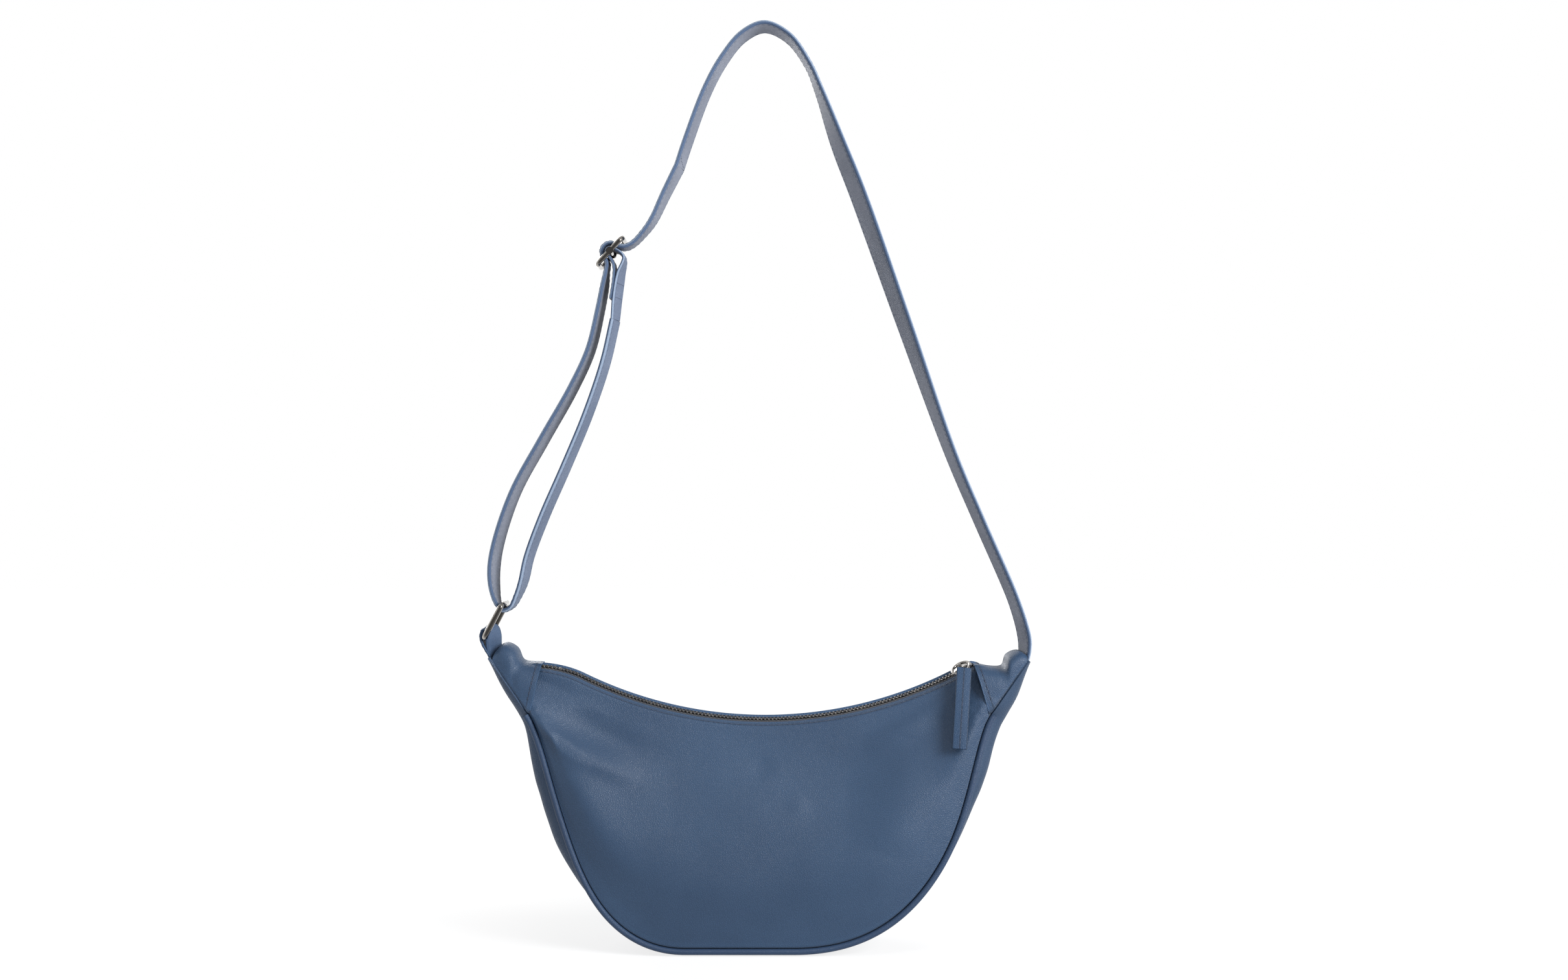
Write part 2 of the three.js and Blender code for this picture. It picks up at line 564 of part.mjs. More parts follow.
// Stops of the loop, from the ring's lower bar, between two legs that meet at the tip
const LOOP = [[-2.7, -3.6], [-3.5, 0.9], [-1.6, 5.7], [2.1, 7.5], [5.9, 5.4], [8, 0.9], [6.9, -5.6]];
const ringTabStops = [
  [-TIP.x - 2.6, TIP.z + 4.6],
  ...LOOP.map(([x, z]) => [RING_BAR.lower[0] + x, RING_BAR.lower[1] + z]),
  [-TIP.x + 0.8, TIP.z + 4.5],
  [-TIP.x + 0.1, TIP.z + 2.4],
];
addPiece("ring_tab", strapAlong(ringTabStops, STRAP_WIDTH, RING_TAB_THICKNESS), leather);

// Rectangular ring, standing on its lower bar in the tab's loop

const [lowerX, lowerZ] = RING_BAR.lower;
const [upperX, upperZ] = RING_BAR.upper;
const ringHalfLength = Math.hypot(upperX - lowerX, upperZ - lowerZ) / 2 + RING_WIRE / 2;
const ringHalfWidth = RING_INNER_WIDTH / 2 + RING_WIRE;
const ringShape = roundedRect(new THREE.Shape(), ringHalfLength, ringHalfWidth, FRAME_CORNER);
const ringHole = roundedRect(
  new THREE.Path(),
  ringHalfLength - RING_WIRE,
  RING_INNER_WIDTH / 2,
  FRAME_CORNER - RING_WIRE,
);
ringShape.holes.push(ringHole);
const ringPlate = bevelledPlate(ringShape, RING_WIRE, FRAME_BEVEL, 4);
const ringSlope = Math.atan2(upperZ - lowerZ, upperX - lowerX);
const squareRing = addPiece("square_ring", ringPlate, gunmetal);
squareRing.rotation.y = -ringSlope;
squareRing.position.set((lowerX + upperX) / 2, 0, (lowerZ + upperZ) / 2);

// Slide buckle: a frame with a centre bar and two slots

const slotHalf = (BUCKLE_HALF_LENGTH - 1.5 * BUCKLE_WIRE) / 2;
const buckleShape = roundedRect(
  new THREE.Shape(),
  BUCKLE_HALF_LENGTH,
  BUCKLE_INNER_WIDTH / 2 + BUCKLE_WIRE,
  FRAME_CORNER,
);
for (const side of [-1, 1]) {
  const slot = roundedRect(new THREE.Path(), slotHalf, BUCKLE_INNER_WIDTH / 2, SLOT_CORNER);
  const centre = side * (BUCKLE_WIRE / 2 + slotHalf);
  const moved = new THREE.Path(slot.getPoints(3).map((p) => new THREE.Vector2(p.x + centre, p.y)));
  buckleShape.holes.push(moved);
}
const bucklePlate = bevelledPlate(buckleShape, BUCKLE_WIRE, FRAME_BEVEL, 4);
const buckle = addPiece("slide_buckle", bucklePlate, gunmetal);
buckle.rotation.y = -BUCKLE_SLOPE;
buckle.position.set(BUCKLE_CENTRE[0], 0, BUCKLE_CENTRE[1]);

// Strap, as stops [x, z, roll] chosen along its middle line

const [buckleX, buckleZ] = BUCKLE_CENTRE;
const along = [Math.cos(BUCKLE_SLOPE), Math.sin(BUCKLE_SLOPE)];
// A stop given along the buckle and square to it, towards the upper left
const atBuckle = (d, m) => [buckleX + d * along[0] - m * along[1], buckleZ + d * along[1] + m * along[0]];
const innerTurn = BUCKLE_WIRE / 2 + GAP + STRAP_END_THICKNESS / 2;
const outerTurn = innerTurn + STRAP_END_THICKNESS / 2 + GAP + STRAP_THICKNESS / 2;
const buckleTurn = (radius) => arcStops(BUCKLE_CENTRE, radius, slopeDegrees, slopeDegrees + 180, 8);
const slopeDegrees = THREE.MathUtils.radToDeg(BUCKLE_SLOPE);
const apexZ = HANG_Z + STRAP_THICKNESS / 2;

const strapLongStops = [
  [-52.4, 503, -10],
  [-47.1, 519.1, -10],
  [-34.5, 552.7, -9],
  [-23.5, 573, -8],
  [-11, 588, -7],
  [HANG_X, apexZ, -6],
  [18.5, 587, -5],
  [31.3, 569.5, -4],
  [38.4, 552.7, -8],
  [50.4, 519.1, -20],
  [63.6, 485.5, -23],
  [93.6, 401.5, -20],
  [123.7, 317.5, -11],
  [141.5, 275.5, -7],
  [160, 233.5, -4],
  [164.6, 222, -3],
];
addPiece("strap_long", strapAlong(strapLongStops, STRAP_WIDTH, STRAP_THICKNESS), strapLeather);

const strapRootStops = [
  [164.8, 221.5, -3],
  [169.4, 208.5, -4],
  [172.4, 198, -4],
  [TIP.x + 0.5, TIP.z + 6.6, -3],
  [TIP.x + 0.6, TIP.z + 2.4, -2],
];
addPiece("strap_root", strapAlong(strapRootStops, STRAP_WIDTH, STRAP_THICKNESS), strapLeather);

const strapShortStops = [
  [-52.7, 502.3, 10],
  [-61.2, 485.5, 8],
  [-69.3, 468.7, 5],
  [-75.2, 460.6, 2],
  atBuckle(14, -6.4),
  atBuckle(9, -4.4),
  ...buckleTurn(outerTurn),
  atBuckle(-6.6, -2.8),
  atBuckle(-10.5, -5.8),
  [-100.6, 426.7, 2],
  [-103.8, 409.9, 4],
  [-109.9, 384.7, 4],
  [-121.4, 359.5, 5],
  [-140.5, 325.9, 5],
  [-158.8, 292.3, 4],
  [-170.1, 258.7, 3],
  [-172.6, 241.9, 2],
  [-171.9, 229, 0],
  [upperX - 4, upperZ, 0],
  [upperX - 0.2, upperZ - 4, 0],
  [upperX + 4.6, upperZ - 2.2, 0],
  [-156.4, 226.6, 0],
  [-153.3, 235, -2],
  [-149.8, 250.3, -4],
  [-140.5, 275.5, -5],
  [-125.8, 309.1, -5],
  [-111.8, 342.7, -5],
  [-100.4, 376.3, -5],
  [-94, 404, -3],
];
addPiece("strap_short", strapAlong(strapShortStops, STRAP_WIDTH, STRAP_THICKNESS), strapLeather);

const strapEndStops = [
  [-93.8, 404.9, -3],
  [-92.6, 418.3, 0],
  [-90.4, 433, 0],
  atBuckle(3.2, -8.6),
  atBuckle(4, -4),
  ...buckleTurn(innerTurn),
  atBuckle(-3.3, -3.6),
  atBuckle(-5.5, -8.2),
  atBuckle(-12.5, -14.2),
  atBuckle(-22, -20.6),
];
addPiece("strap_end", strapAlong(strapEndStops, STRAP_WIDTH, STRAP_END_THICKNESS), strapLeather);

const part = new THREE.Group();
part.add(bag);
export default part;
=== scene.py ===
"""Half-moon leather sling bag on a long strap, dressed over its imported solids."""
import math

import bpy
import numpy as np
from mathutils import Matrix, Vector, noise


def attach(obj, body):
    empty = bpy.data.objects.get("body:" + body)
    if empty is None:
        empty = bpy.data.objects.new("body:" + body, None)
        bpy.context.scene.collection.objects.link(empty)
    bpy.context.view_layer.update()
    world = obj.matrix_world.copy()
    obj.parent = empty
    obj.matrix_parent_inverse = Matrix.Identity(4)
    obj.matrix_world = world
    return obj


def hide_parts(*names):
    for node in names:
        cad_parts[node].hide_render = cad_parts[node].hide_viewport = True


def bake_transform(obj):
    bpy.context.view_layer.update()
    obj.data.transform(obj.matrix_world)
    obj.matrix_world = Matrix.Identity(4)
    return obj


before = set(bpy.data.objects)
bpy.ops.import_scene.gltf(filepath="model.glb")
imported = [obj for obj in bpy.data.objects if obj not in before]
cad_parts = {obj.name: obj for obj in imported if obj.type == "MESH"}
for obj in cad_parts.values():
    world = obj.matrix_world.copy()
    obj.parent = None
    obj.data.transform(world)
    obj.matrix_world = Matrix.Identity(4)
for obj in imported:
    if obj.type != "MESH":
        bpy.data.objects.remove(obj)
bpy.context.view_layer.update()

# The bag is drawn in millimetres with its base at z = 0, then set below the point where its strap hangs
MM = 0.001
HANG = np.array([3.0, 0.0, 592.7])

# Thickness of the leather, and the gap between pieces that are sewn together
LEATHER = 1.6
GAP = 0.3
# The seam in the front view: flat base, joint with the end caps, tip, and the reach of its curve's handles
LEFT_BASE, RIGHT_BASE = 45.0, 24.0
BASE_SHIFT, SHIFT_FADE = -2.2, (15.0, 85.0)
BASE_RISE = 3.7
JOINT = np.array([148.6, 150.8])
TIP = np.array([172.8, 184.0])
LEFT_REACH, RIGHT_REACH, JOINT_REACH = 78.0, 111.0, np.array([18.8, 23.4])
# The gusset's half width, and its swell: how much more at each end, and where that grows and fades
BASE_HALF_DEPTH, JOINT_HALF_DEPTH, TIP_HALF_DEPTH = 34.0, 18.0, 12.5
DEPTH_TAPER = 1.2
SIDE_PUFF, PUFF_FADE = 5.5, (JOINT[1] + 10, TIP[1] + 14)
LEFT_SWELL = (6.3, (20, 80), (106, 162))
RIGHT_SWELL = (5.4, (70, 120), (140, 190))
# Panels and pipings
PANEL_PUFF = 8.0
PANEL_BELLY = (0.14, 0.76)
SEAM_INSET = 0.8
PIPING_RADIUS, PIPING_OFFSET = 2.0, 1.5

# The zip's arc in the front view, and the mouth's slopes, ends and droop
ZIP_RADIUS, ZIP_MIDDLE, ZIP_LOW = 270.0, 3.3, 145.0
ZIP_CENTRE = ZIP_LOW + ZIP_RADIUS
ZIP_TILT, ZIP_BEND = math.radians(12), 4.1
FRONT_FALL, BACK_FALL = math.radians(45), math.radians(-10)
LEFT_END, RIGHT_END = math.radians(32.1), math.radians(30.8)
LEFT_DROOP, RIGHT_DROOP = (math.radians(26), 0.0095), (math.radians(29.4), 0.11)
HEM_HALF_GAP, SHOULDER = 4.6, 9.0
HEM_LIFT = 1.45
TAPE_MIDDLE_GAP, TAPE_HALF_WIDTH, TAPE_THICKNESS = 1.2, 5.4, 0.5
# The chain. A tooth's body and head have a size, a distance from the middle and a bevel
CHAIN_END = math.radians(28.9)
TOOTH_PITCH = 2.42
TOOTH_PARTS = [((1.2, 2.0, 2.6), 1.7, 0.3), ((1.0, 2.3, 2.0), 0.55, 0.35)]
STOP_LENGTH, STOP_HEIGHT, END_STOP_WIDTH = 2.4, 2.4, 5.0
TOP_STOP_WIDTH, TOP_STOP_OFFSET = 2.3, 1.45
# The slider's plates, post, rails and crown, then the ring on it
SLIDER_ANGLE = math.radians(28.2)
SLIDER_LENGTH = 10.0
PLATE, PLATE_LIFT, NOSE_NARROWING, TAIL_NARROWING = (SLIDER_LENGTH, 7.8, 1.3), 2.05, 0.28, 0.1
POST, RAIL, RAIL_AT = (1.6, 2.2, 4.6), (SLIDER_LENGTH - 1.5, 0.9, 1.9), (-0.6, 3.3, 1.7)
CROWN_STRIP, CROWN_HALF_SPAN, CROWN_FOOT, CROWN_RISE = (2.6, 1.1), 3.3, 2.45, 2.8
STOP_ANGLE = -CHAIN_END - (GAP + STOP_LENGTH / 2) / ZIP_RADIUS
TOP_STOP_ANGLE = SLIDER_ANGLE + (SLIDER_LENGTH / 2 + GAP + STOP_LENGTH / 2) / ZIP_RADIUS
PULL_RING_RADIUS, PULL_WIRE = 6.1, 1.0
PULL_FALL = math.radians(8)
RING_LIFT = 4.3
RING_STAND = math.radians(11)

# The strap, with its seams as shares of its half width, and how finely it is drawn between stops
STRAP_WIDTH, STRAP_THICKNESS, STRAP_END_THICKNESS, RING_TAB_THICKNESS = 22.0, 3.0, 2.0, 2.0
STRAP_SEAM, TAB_SEAM = 0.76, 0.8
PER_STOP = 10
# The ring's bars, and wire frames: half length (the ring's follows from its bars), half width, corner, wire
RING_LOWER, RING_UPPER = np.array([-176.9, 199.1]), np.array([-165.7, 220.5])
RING_FRAME, BUCKLE_FRAME = (14.1, 3.4, 1.9), (11.4, 13.5, 3.5, 1.75)
BUCKLE_CENTRE = np.array([-96.4, 447.6])
BUCKLE_SLOPE = math.atan2(0.733, 0.68)
BUCKLE_BAR, BUCKLE_KNOB = (-13.4, 13.4, 1.45), (11.0, 15.4, 2.4)

LINING, LINING_INSET, GUSSET_LINING_INSET = 0.8, 1.2, 2.1
# Millimetres that a whole share of a surface stands for in the marks its material reads
PANEL_DROP, PANEL_SPAN, SHELF_DROP = 130.0, 400.0, 65.0
GUSSET_SPAN, CAP_RUN, CAP_WRAP = 60.0, 34.0, 90.0
# Metres from the hanging point down to the inside of the bag and of its caps
BAG_HEART, CAP_HEART = 0.49, 0.435
SIDES, HANDS = (("front", -1), ("back", 1)), (("left", -1), ("right", 1))
# Kinds of stitch, in millimetres
HEM_STITCH = {"pitch": 3.4, "length": 2.3, "radius": 0.42}
CAP_STITCH = {"pitch": 3.4, "length": 2.4, "radius": 0.42, "sink": 0.0}
TAB_STITCH = {"pitch": 3.4, "length": 2.3, "radius": 0.55, "sink": 0.3}
EDGE_STITCH = {"pitch": 3.6, "length": 2.5, "radius": 0.18}
CROSS_STITCH = {"pitch": 2.6, "length": 2.0, "radius": 0.3}


def in_row(points):
    """Drawing millimetres to metres in the shared frame."""
    return (np.asarray(points, float) - HANG) * MM


# Working on meshes


def deselect_all():
    if bpy.context.object and bpy.context.object.mode != "OBJECT":
        bpy.ops.object.mode_set(mode="OBJECT")
    bpy.ops.object.select_all(action="DESELECT")


def take_up(*objects):
    deselect_all()
    for obj in objects:
        obj.select_set(True)
    bpy.context.view_layer.objects.active = objects[0]


def finish_with(obj, kind, **settings):
    take_up(obj)
    modifier = obj.modifiers.new(kind.title(), kind)
    for key, value in settings.items():
        setattr(modifier, key, value)
    bpy.ops.object.modifier_apply(modifier=modifier.name)
    return obj


def close_up(obj, merge=0.00002):
    """Merges doubled corners, fills open ends and turns the faces outwards."""
    take_up(obj)
    bpy.ops.object.mode_set(mode="EDIT")
    bpy.ops.mesh.select_all(action="SELECT")
    bpy.ops.mesh.remove_doubles(threshold=merge)
    bpy.ops.mesh.select_all(action="DESELECT")
    bpy.ops.mesh.select_non_manifold(extend=False, use_wire=False, use_multi_face=False,
                                     use_non_contiguous=False, use_verts=False)
    bpy.ops.mesh.fill_holes(sides=0)
    bpy.ops.mesh.select_all(action="SELECT")
    bpy.ops.mesh.normals_make_consistent(inside=False)
    bpy.ops.object.mode_set(mode="OBJECT")
    return obj


def smooth(obj, angle=40):
    take_up(obj)
    bpy.ops.object.shade_smooth_by_angle(angle=math.radians(angle))
    return obj


def join_up(objects, name):
    take_up(*objects)
    if len(objects) > 1:
        bpy.ops.object.join()
    obj = bpy.context.view_layer.objects.active
    obj.name = name
    obj.data.name = name
    return obj


def mark(obj, **values):
    """Stores measures of a surface on its corners, for its material to read."""
    for key, value in values.items():
        attribute = obj.data.attributes.new(key, "FLOAT", "POINT")
        attribute.data.foreach_set("value", np.asarray(value, np.float32).ravel())


def corners_of(obj):
    return np.array([v.co for v in obj.data.vertices])


def drape(name, across, down, place):
    """A grid whose corners are laid where place(u, v) says. u and v run from 0 to 1."""
    deselect_all()
    bpy.ops.mesh.primitive_grid_add(x_subdivisions=across, y_subdivisions=down, size=1)
    obj = bpy.context.object
    flat = corners_of(obj)
    u, v = flat[:, 0] + 0.5, flat[:, 1] + 0.5
    obj.data.vertices.foreach_set("co", in_row(place(u, v)).astype(np.float32).ravel())
    obj.data.update()
    obj.name = name
    obj.data.name = name
    return obj, u, v


def face_towards(obj, outward):
    """Turns an open sheet so that its faces look along outward, a direction for each face centre."""
    mesh = obj.data
    agree = sum(p.normal.dot(Vector(outward(p.center))) * p.area for p in mesh.polygons)
    if agree < 0:
        mesh.flip_normals()


def thicken(obj, thickness):
    """Gives a sheet its thickness in millimetres, inwards."""
    finish_with(obj, "SOLIDIFY", thickness=thickness * MM, offset=-1)
    return smooth(obj, 50)


def take_shape(obj):
    """Corners and faces of a model piece, which is then put away."""
    shape, faces = corners_of(obj), [list(p.vertices) for p in obj.data.polygons]
    bpy.data.objects.remove(obj)
    return shape, faces


def make_copies(name, faces, places):
    """One object of many copies of a model piece. Each of places holds the corners of one copy."""
    count = len(places[0])
    polygons = [[k + i * count for k in face] for i in range(len(places)) for face in faces]
    mesh = bpy.data.meshes.new(name)
    mesh.from_pydata(in_row(np.vstack(places)).tolist(), [], polygons)
    mesh.update()
    obj = bpy.data.objects.new(name, mesh)
    bpy.context.scene.collection.objects.link(obj)
    return obj


# Lines and surfaces of the bag


def curve_through(stops, per_stop):
    """Even-handed spline through rows of numbers, the first two of them x and z."""
    stops = np.asarray(stops, float)
    padded = np.vstack([2 * stops[0] - stops[1], stops, 2 * stops[-1] - stops[-2]])
    line = []
    for i in range(len(stops) - 1):
        p0, p1, p2, p3 = padded[i:i + 4]
        d0, d1, d2 = (max(np.linalg.norm((b - a)[:2]) ** 0.5, 1e-4)
                      for a, b in ((p0, p1), (p1, p2), (p2, p3)))
        t1 = ((p1 - p0) / d0 - (p2 - p0) / (d0 + d1) + (p2 - p1) / d1) * d1
        t2 = ((p2 - p1) / d1 - (p3 - p1) / (d1 + d2) + (p3 - p2) / d2) * d1
        t = np.linspace(0, 1, per_stop, endpoint=False)[:, None]
        line.append((2 * t**3 - 3 * t**2 + 1) * p1 + (t**3 - 2 * t**2 + t) * t1
                    + (-2 * t**3 + 3 * t**2) * p2 + (t**3 - t**2) * t2)
    return np.vstack(line + [stops[-1:]])


def unit(rows):
    return rows / np.linalg.norm(rows, axis=-1, keepdims=True)


def columns(*parts):
    return np.stack(np.broadcast_arrays(*parts), axis=-1)


def rows_of(vector, count):
    return np.tile(np.array(vector, float), (count, 1))


def lengths_along(line):
    return np.concatenate([[0], np.cumsum(np.linalg.norm(np.diff(line, axis=0), axis=1))])


def read_at(marks, reach, table):
    """Rows of a table, read off at marks along its reach."""
    return columns(*(np.interp(marks, reach, column) for column in table.T))


def at_share(line, share):
    reach = lengths_along(line)
    return read_at(share * reach[-1], reach, line)


def ease(value, low, high):
    t = np.clip((value - low) / (high - low), 0, 1)
    return t * t * (3 - 2 * t)


def lower_seam(base_end, reach):
    """The seam from the end of the flat base up to the joint with the end cap, a curve with two handles."""
    start, end = np.array([base_end, BASE_RISE]), JOINT
    first, second = start + [reach, 0], end - JOINT_REACH
    t = np.linspace(0, 1, 160)[:, None]
    return (1 - t)**3 * start + 3 * t * (1 - t)**2 * first + 3 * t**2 * (1 - t) * second + t**3 * end


lower_left, lower_right = lower_seam(LEFT_BASE, LEFT_REACH), lower_seam(RIGHT_BASE, RIGHT_REACH)
body_line = np.vstack([lower_left[::-1] * [-1, 1], lower_right])
body_line[:, 0] += BASE_SHIFT * (1 - ease(body_line[:, 1], *SHIFT_FADE))
cap_line = np.array([JOINT, TIP])
left_tip, right_tip = TIP + [1.5, 2.1], TIP + [0.2, 0.3]
tip_line = np.vstack([left_tip * [-1, 1], JOINT * [-1, 1], body_line[1:-1], JOINT, right_tip])


def seam_stations(line, share):
    """Points of a seam line, the direction out of the bag there, and half the gusset's width."""
    points = at_share(line, share)
    step = 0.012
    ahead = unit(at_share(line, np.clip(share + step, 0, 1)) - at_share(line, np.clip(share - step, 0, 1)))
    out = columns(ahead[:, 1], -ahead[:, 0])
    low = np.clip((points[:, 1] - BASE_RISE) / (JOINT[1] - BASE_RISE), 0, 1) ** DEPTH_TAPER
    high = np.clip((points[:, 1] - JOINT[1]) / (TIP[1] - JOINT[1]), 0, 1)
    half = BASE_HALF_DEPTH + (JOINT_HALF_DEPTH - BASE_HALF_DEPTH) * low
    half = half + (TIP_HALF_DEPTH - JOINT_HALF_DEPTH) * high
    return points, out, half


def on_seam(stations, outward, y):
    points, out, _ = stations
    moved = points + out * np.asarray(outward)[..., None]
    return columns(moved[:, 0], y, moved[:, 1])


def mouth_droop(angle):
    """How far the mouth's ends hang below its arc."""
    left, right = (rate * (ZIP_RADIUS * np.maximum(0, hand * angle - start)) ** 2
                   for hand, (start, rate) in ((-1, LEFT_DROOP), (1, RIGHT_DROOP)))
    return left + right


def on_mouth(angle, across, lift):
    """A point of the mouth: angle along the zip's arc, across it to the back, lift square to the tapes."""
    flat = np.clip(across, -ZIP_BEND, ZIP_BEND)
    rest = across - flat
    fall = np.where(rest < 0, FRONT_FALL, np.where(rest > 0, BACK_FALL, ZIP_TILT))
    y = flat * math.cos(ZIP_TILT) + rest * np.cos(fall) - lift * np.sin(fall)
    rise = flat * math.sin(ZIP_TILT) + rest * np.sin(fall) + lift * np.cos(fall)
    radius = ZIP_RADIUS - rise + mouth_droop(angle)
    return columns(ZIP_MIDDLE + radius * np.sin(angle), y, ZIP_CENTRE - radius * np.cos(angle))


def mouth_angle(u):
    return -LEFT_END + (LEFT_END + RIGHT_END) * u


def soft_noise(points, size, seed):
    """Smooth bumps of about the given size, between -1 and 1."""
    shift = Vector((seed * 17.3, seed * 5.1, seed * 9.7))
    return np.array([noise.noise(Vector(p) / size + shift) for p in points])


def fold(x, z, start, end, width, height):
    """Height of a soft fold in the leather, from start to end in the front view."""
    start, end = np.array(start, float), np.array(end, float)
    run = end - start
    offset = columns(x, z) - start
    share = np.clip(offset @ run / (run @ run), 0, 1)
    away = np.linalg.norm(offset - share[..., None] * run, axis=-1)
    return height * np.exp(-((away / width) ** 2)) * np.sin(np.pi * np.clip(share * 0.8 + 0.15, 0, 1))


# Shares down a panel: the shelf beside the zip, the sewn row on it, and how its corners crowd to the hem
SHELF, HEM_ROW, HEM_CROWDING = 0.07, 0.05, 1.15
FRONT_HEM_LIFT, BACK_HEM_LIFT = 0.4, 2.15
CLEAR_OF_SEAM = 20.0
CAP_LAP, CAP_PROUD = 1.4, 0.7
GUSSET_LAP = GAP + LEATHER + CAP_PROUD + 0.7


def panel_points(side, u, v):
    """Front (-1) or back (+1) panel: hem, shoulder, then the draped face down to its seam."""
    stations = seam_stations(body_line, u)
    angle = mouth_angle(u)
    lift = FRONT_HEM_LIFT if side < 0 else BACK_HEM_LIFT
    hem = on_mouth(angle, side * HEM_HALF_GAP, lift)
    shoulder = on_mouth(angle, side * SHOULDER, HEM_LIFT)
    foot = on_seam(stations, np.full_like(u, -SEAM_INSET), side * (stations[2] + GAP + LEATHER))
    shelf = np.clip(v / SHELF, 0, 1)
    fall = np.clip((v - SHELF) / (1 - SHELF), 0, 1)
    points = hem + (shoulder - hem) * shelf[:, None] + (foot - shoulder) * fall[:, None]
    length = np.linalg.norm(foot - shoulder, axis=1)
    belly = 0.3 * fall + 0.7 * ease(fall, *PANEL_BELLY)
    over = shoulder[:, 1] + (foot[:, 1] - shoulder[:, 1]) * belly
    puff = PANEL_PUFF * np.minimum(1, length / JOINT[1]) * np.sin(np.pi * fall)
    points[:, 1] = np.where(fall > 0, over + side * puff, points[:, 1])
    return points


# The pull tab, how it hangs, and the room the leather behind it leaves
TAB_WIDTH, TAB_LENGTH, TAB_THICKNESS = 9.6, 53.0, 2.2
TAB_EYE, TONGUE_STRIP, PLY, PLY_OFFSET = 2.1, (2.2, 0.8), 1.05, 0.54
TAB_SLANT, TAB_TILT = math.radians(5), math.radians(17.5)
TAB_CLEAR, ROOM_SOFTNESS, ROOM_FADE, ROOM_BESIDE = 0.4, 0.7, 20, 12
ZIP_TRAVEL = math.radians(55)
ring_reach = 2 * PULL_RING_RADIUS
forward = on_mouth(SLIDER_ANGLE, -1, 0) - on_mouth(SLIDER_ANGLE, 0, 0)
hook = on_mouth(SLIDER_ANGLE, 0, RING_LIFT - ring_reach * math.sin(PULL_FALL))
hook = hook + forward * ring_reach * math.cos(PULL_FALL)


def tab_room(points):
    """How far the front leather may stand out and still lie behind the pull tab, wherever the slider is."""
    x, y, z = points.T
    run, drop = hook[0] - ZIP_MIDDLE, ZIP_CENTRE - hook[2]
    swing = math.hypot(run, drop)

    def hook_height(at):
        return ZIP_CENTRE - np.sqrt(np.maximum(swing**2 - (at - ZIP_MIDDLE) ** 2, 0))

    hook_x = x + (hook_height(x) - z) * math.tan(TAB_SLANT)
    below = hook_height(hook_x) - z
    tab_back = hook[1] - TAB_EYE * math.cos(TAB_TILT) - below * math.tan(TAB_TILT)
    last_x = ZIP_MIDDLE + swing * math.sin(math.atan2(run, drop) - ZIP_TRAVEL)
    beside = np.maximum(hook_x - hook[0], last_x - hook_x) - TAB_WIDTH / 2
    clear = ease(beside, 0, ROOM_FADE) + ease(below, TAB_LENGTH - 2, TAB_LENGTH + ROOM_FADE)
    return y - tab_back - TAB_CLEAR + ROOM_BESIDE * clear


# Folds of the panels in the front view: start, end, width and height
FOLDS = [
    ((-146, 149), (-112, 122), 4.5, 3.4), ((-124, 130), (-76, 109), 7, 3.4),
    ((-116, 110), (-92, 52), 14, 1.2), ((-130, 147), (-72, 126), 7, -2.0),
    ((-128, 158), (-96, 151), 4.5, 1.0), ((106, 148), (66, 130), 8, 1.6),
    ((98, 134), (80, 64), 19, 3.4), ((100, 156), (62, 140), 9, -1.2),
    ((136, 141), (124, 126), 5, 1.0), ((-56, 92), (56, 94), 22, 2.2), ((-4, 122), (6, 110), 8, -0.9),
    ((20, 88), (30, 98), 7, 0.8),
]


PUCKER_AT, PUCKER_SIZE = (138, 153), (14, 9)
CALM_AT, CALM_SIZE = (124, 138), (11, 22)
CALM_FOLD = ((126, 164), (124, 146), 12, 2.2)


def spot(x, z, at, size):
    """1 at a place in the front view, dying out over its size."""
    return np.exp(-(((x - at[0]) / size[0]) ** 2 + ((z - at[1]) / size[1]) ** 2))


def panel_relief(side, points, v):
    """How far the leather stands out from its even drape. It is calmer under the pull tab."""
    x, z = points[:, 0], points[:, 2]
    held = ease(v, SHELF, 0.22) * (1 - ease(v, 0.9, 1))
    relief = 1.1 * soft_noise(points, 58, 3 + side) + 0.3 * soft_noise(points, 22, 8 + side)
    for start, end, width, height in FOLDS:
        relief += fold(x, z, start, end, width, height)
    for hand in (-1, 1):
        near = spot(x, z, (hand * PUCKER_AT[0], PUCKER_AT[1]), PUCKER_SIZE)
        relief += 0.7 * near * soft_noise(points * [1.4, 1.0, 2.0], 5, 14 + hand)
    calm = 1 - 0.9 * spot(x, z, CALM_AT, CALM_SIZE)
    relief = held * (relief * calm + fold(x, z, *CALM_FOLD))
    if side < 0:
        over = (relief - tab_room(points)) / ROOM_SOFTNESS
        relief = relief - ROOM_SOFTNESS * np.log1p(np.exp(np.minimum(over, 40)))
    return relief


def make_panel(side, name):
    """A panel whose rows of corners crowd towards its hem."""
    def place(u, v):
        down = v**HEM_CROWDING
        points = panel_points(side, u, down)
        points[:, 1] += side * panel_relief(side, points, down)
        return points

    obj, u, v = drape(name, 230, 104, place)
    down = v**HEM_CROWDING
    to_cap = np.minimum(u, 1 - u) * PANEL_SPAN - CAP_LAP
    mark(obj, rim=np.minimum((1 - down) * PANEL_DROP, to_cap), sewn=np.abs(down - HEM_ROW) * SHELF_DROP,
         hem=down * SHELF_DROP)
    face_towards(obj, lambda c: (0, side, 0))
    finish_with(obj, "SMOOTH", factor=0.4, iterations=2)
    return thicken(obj, LEATHER)


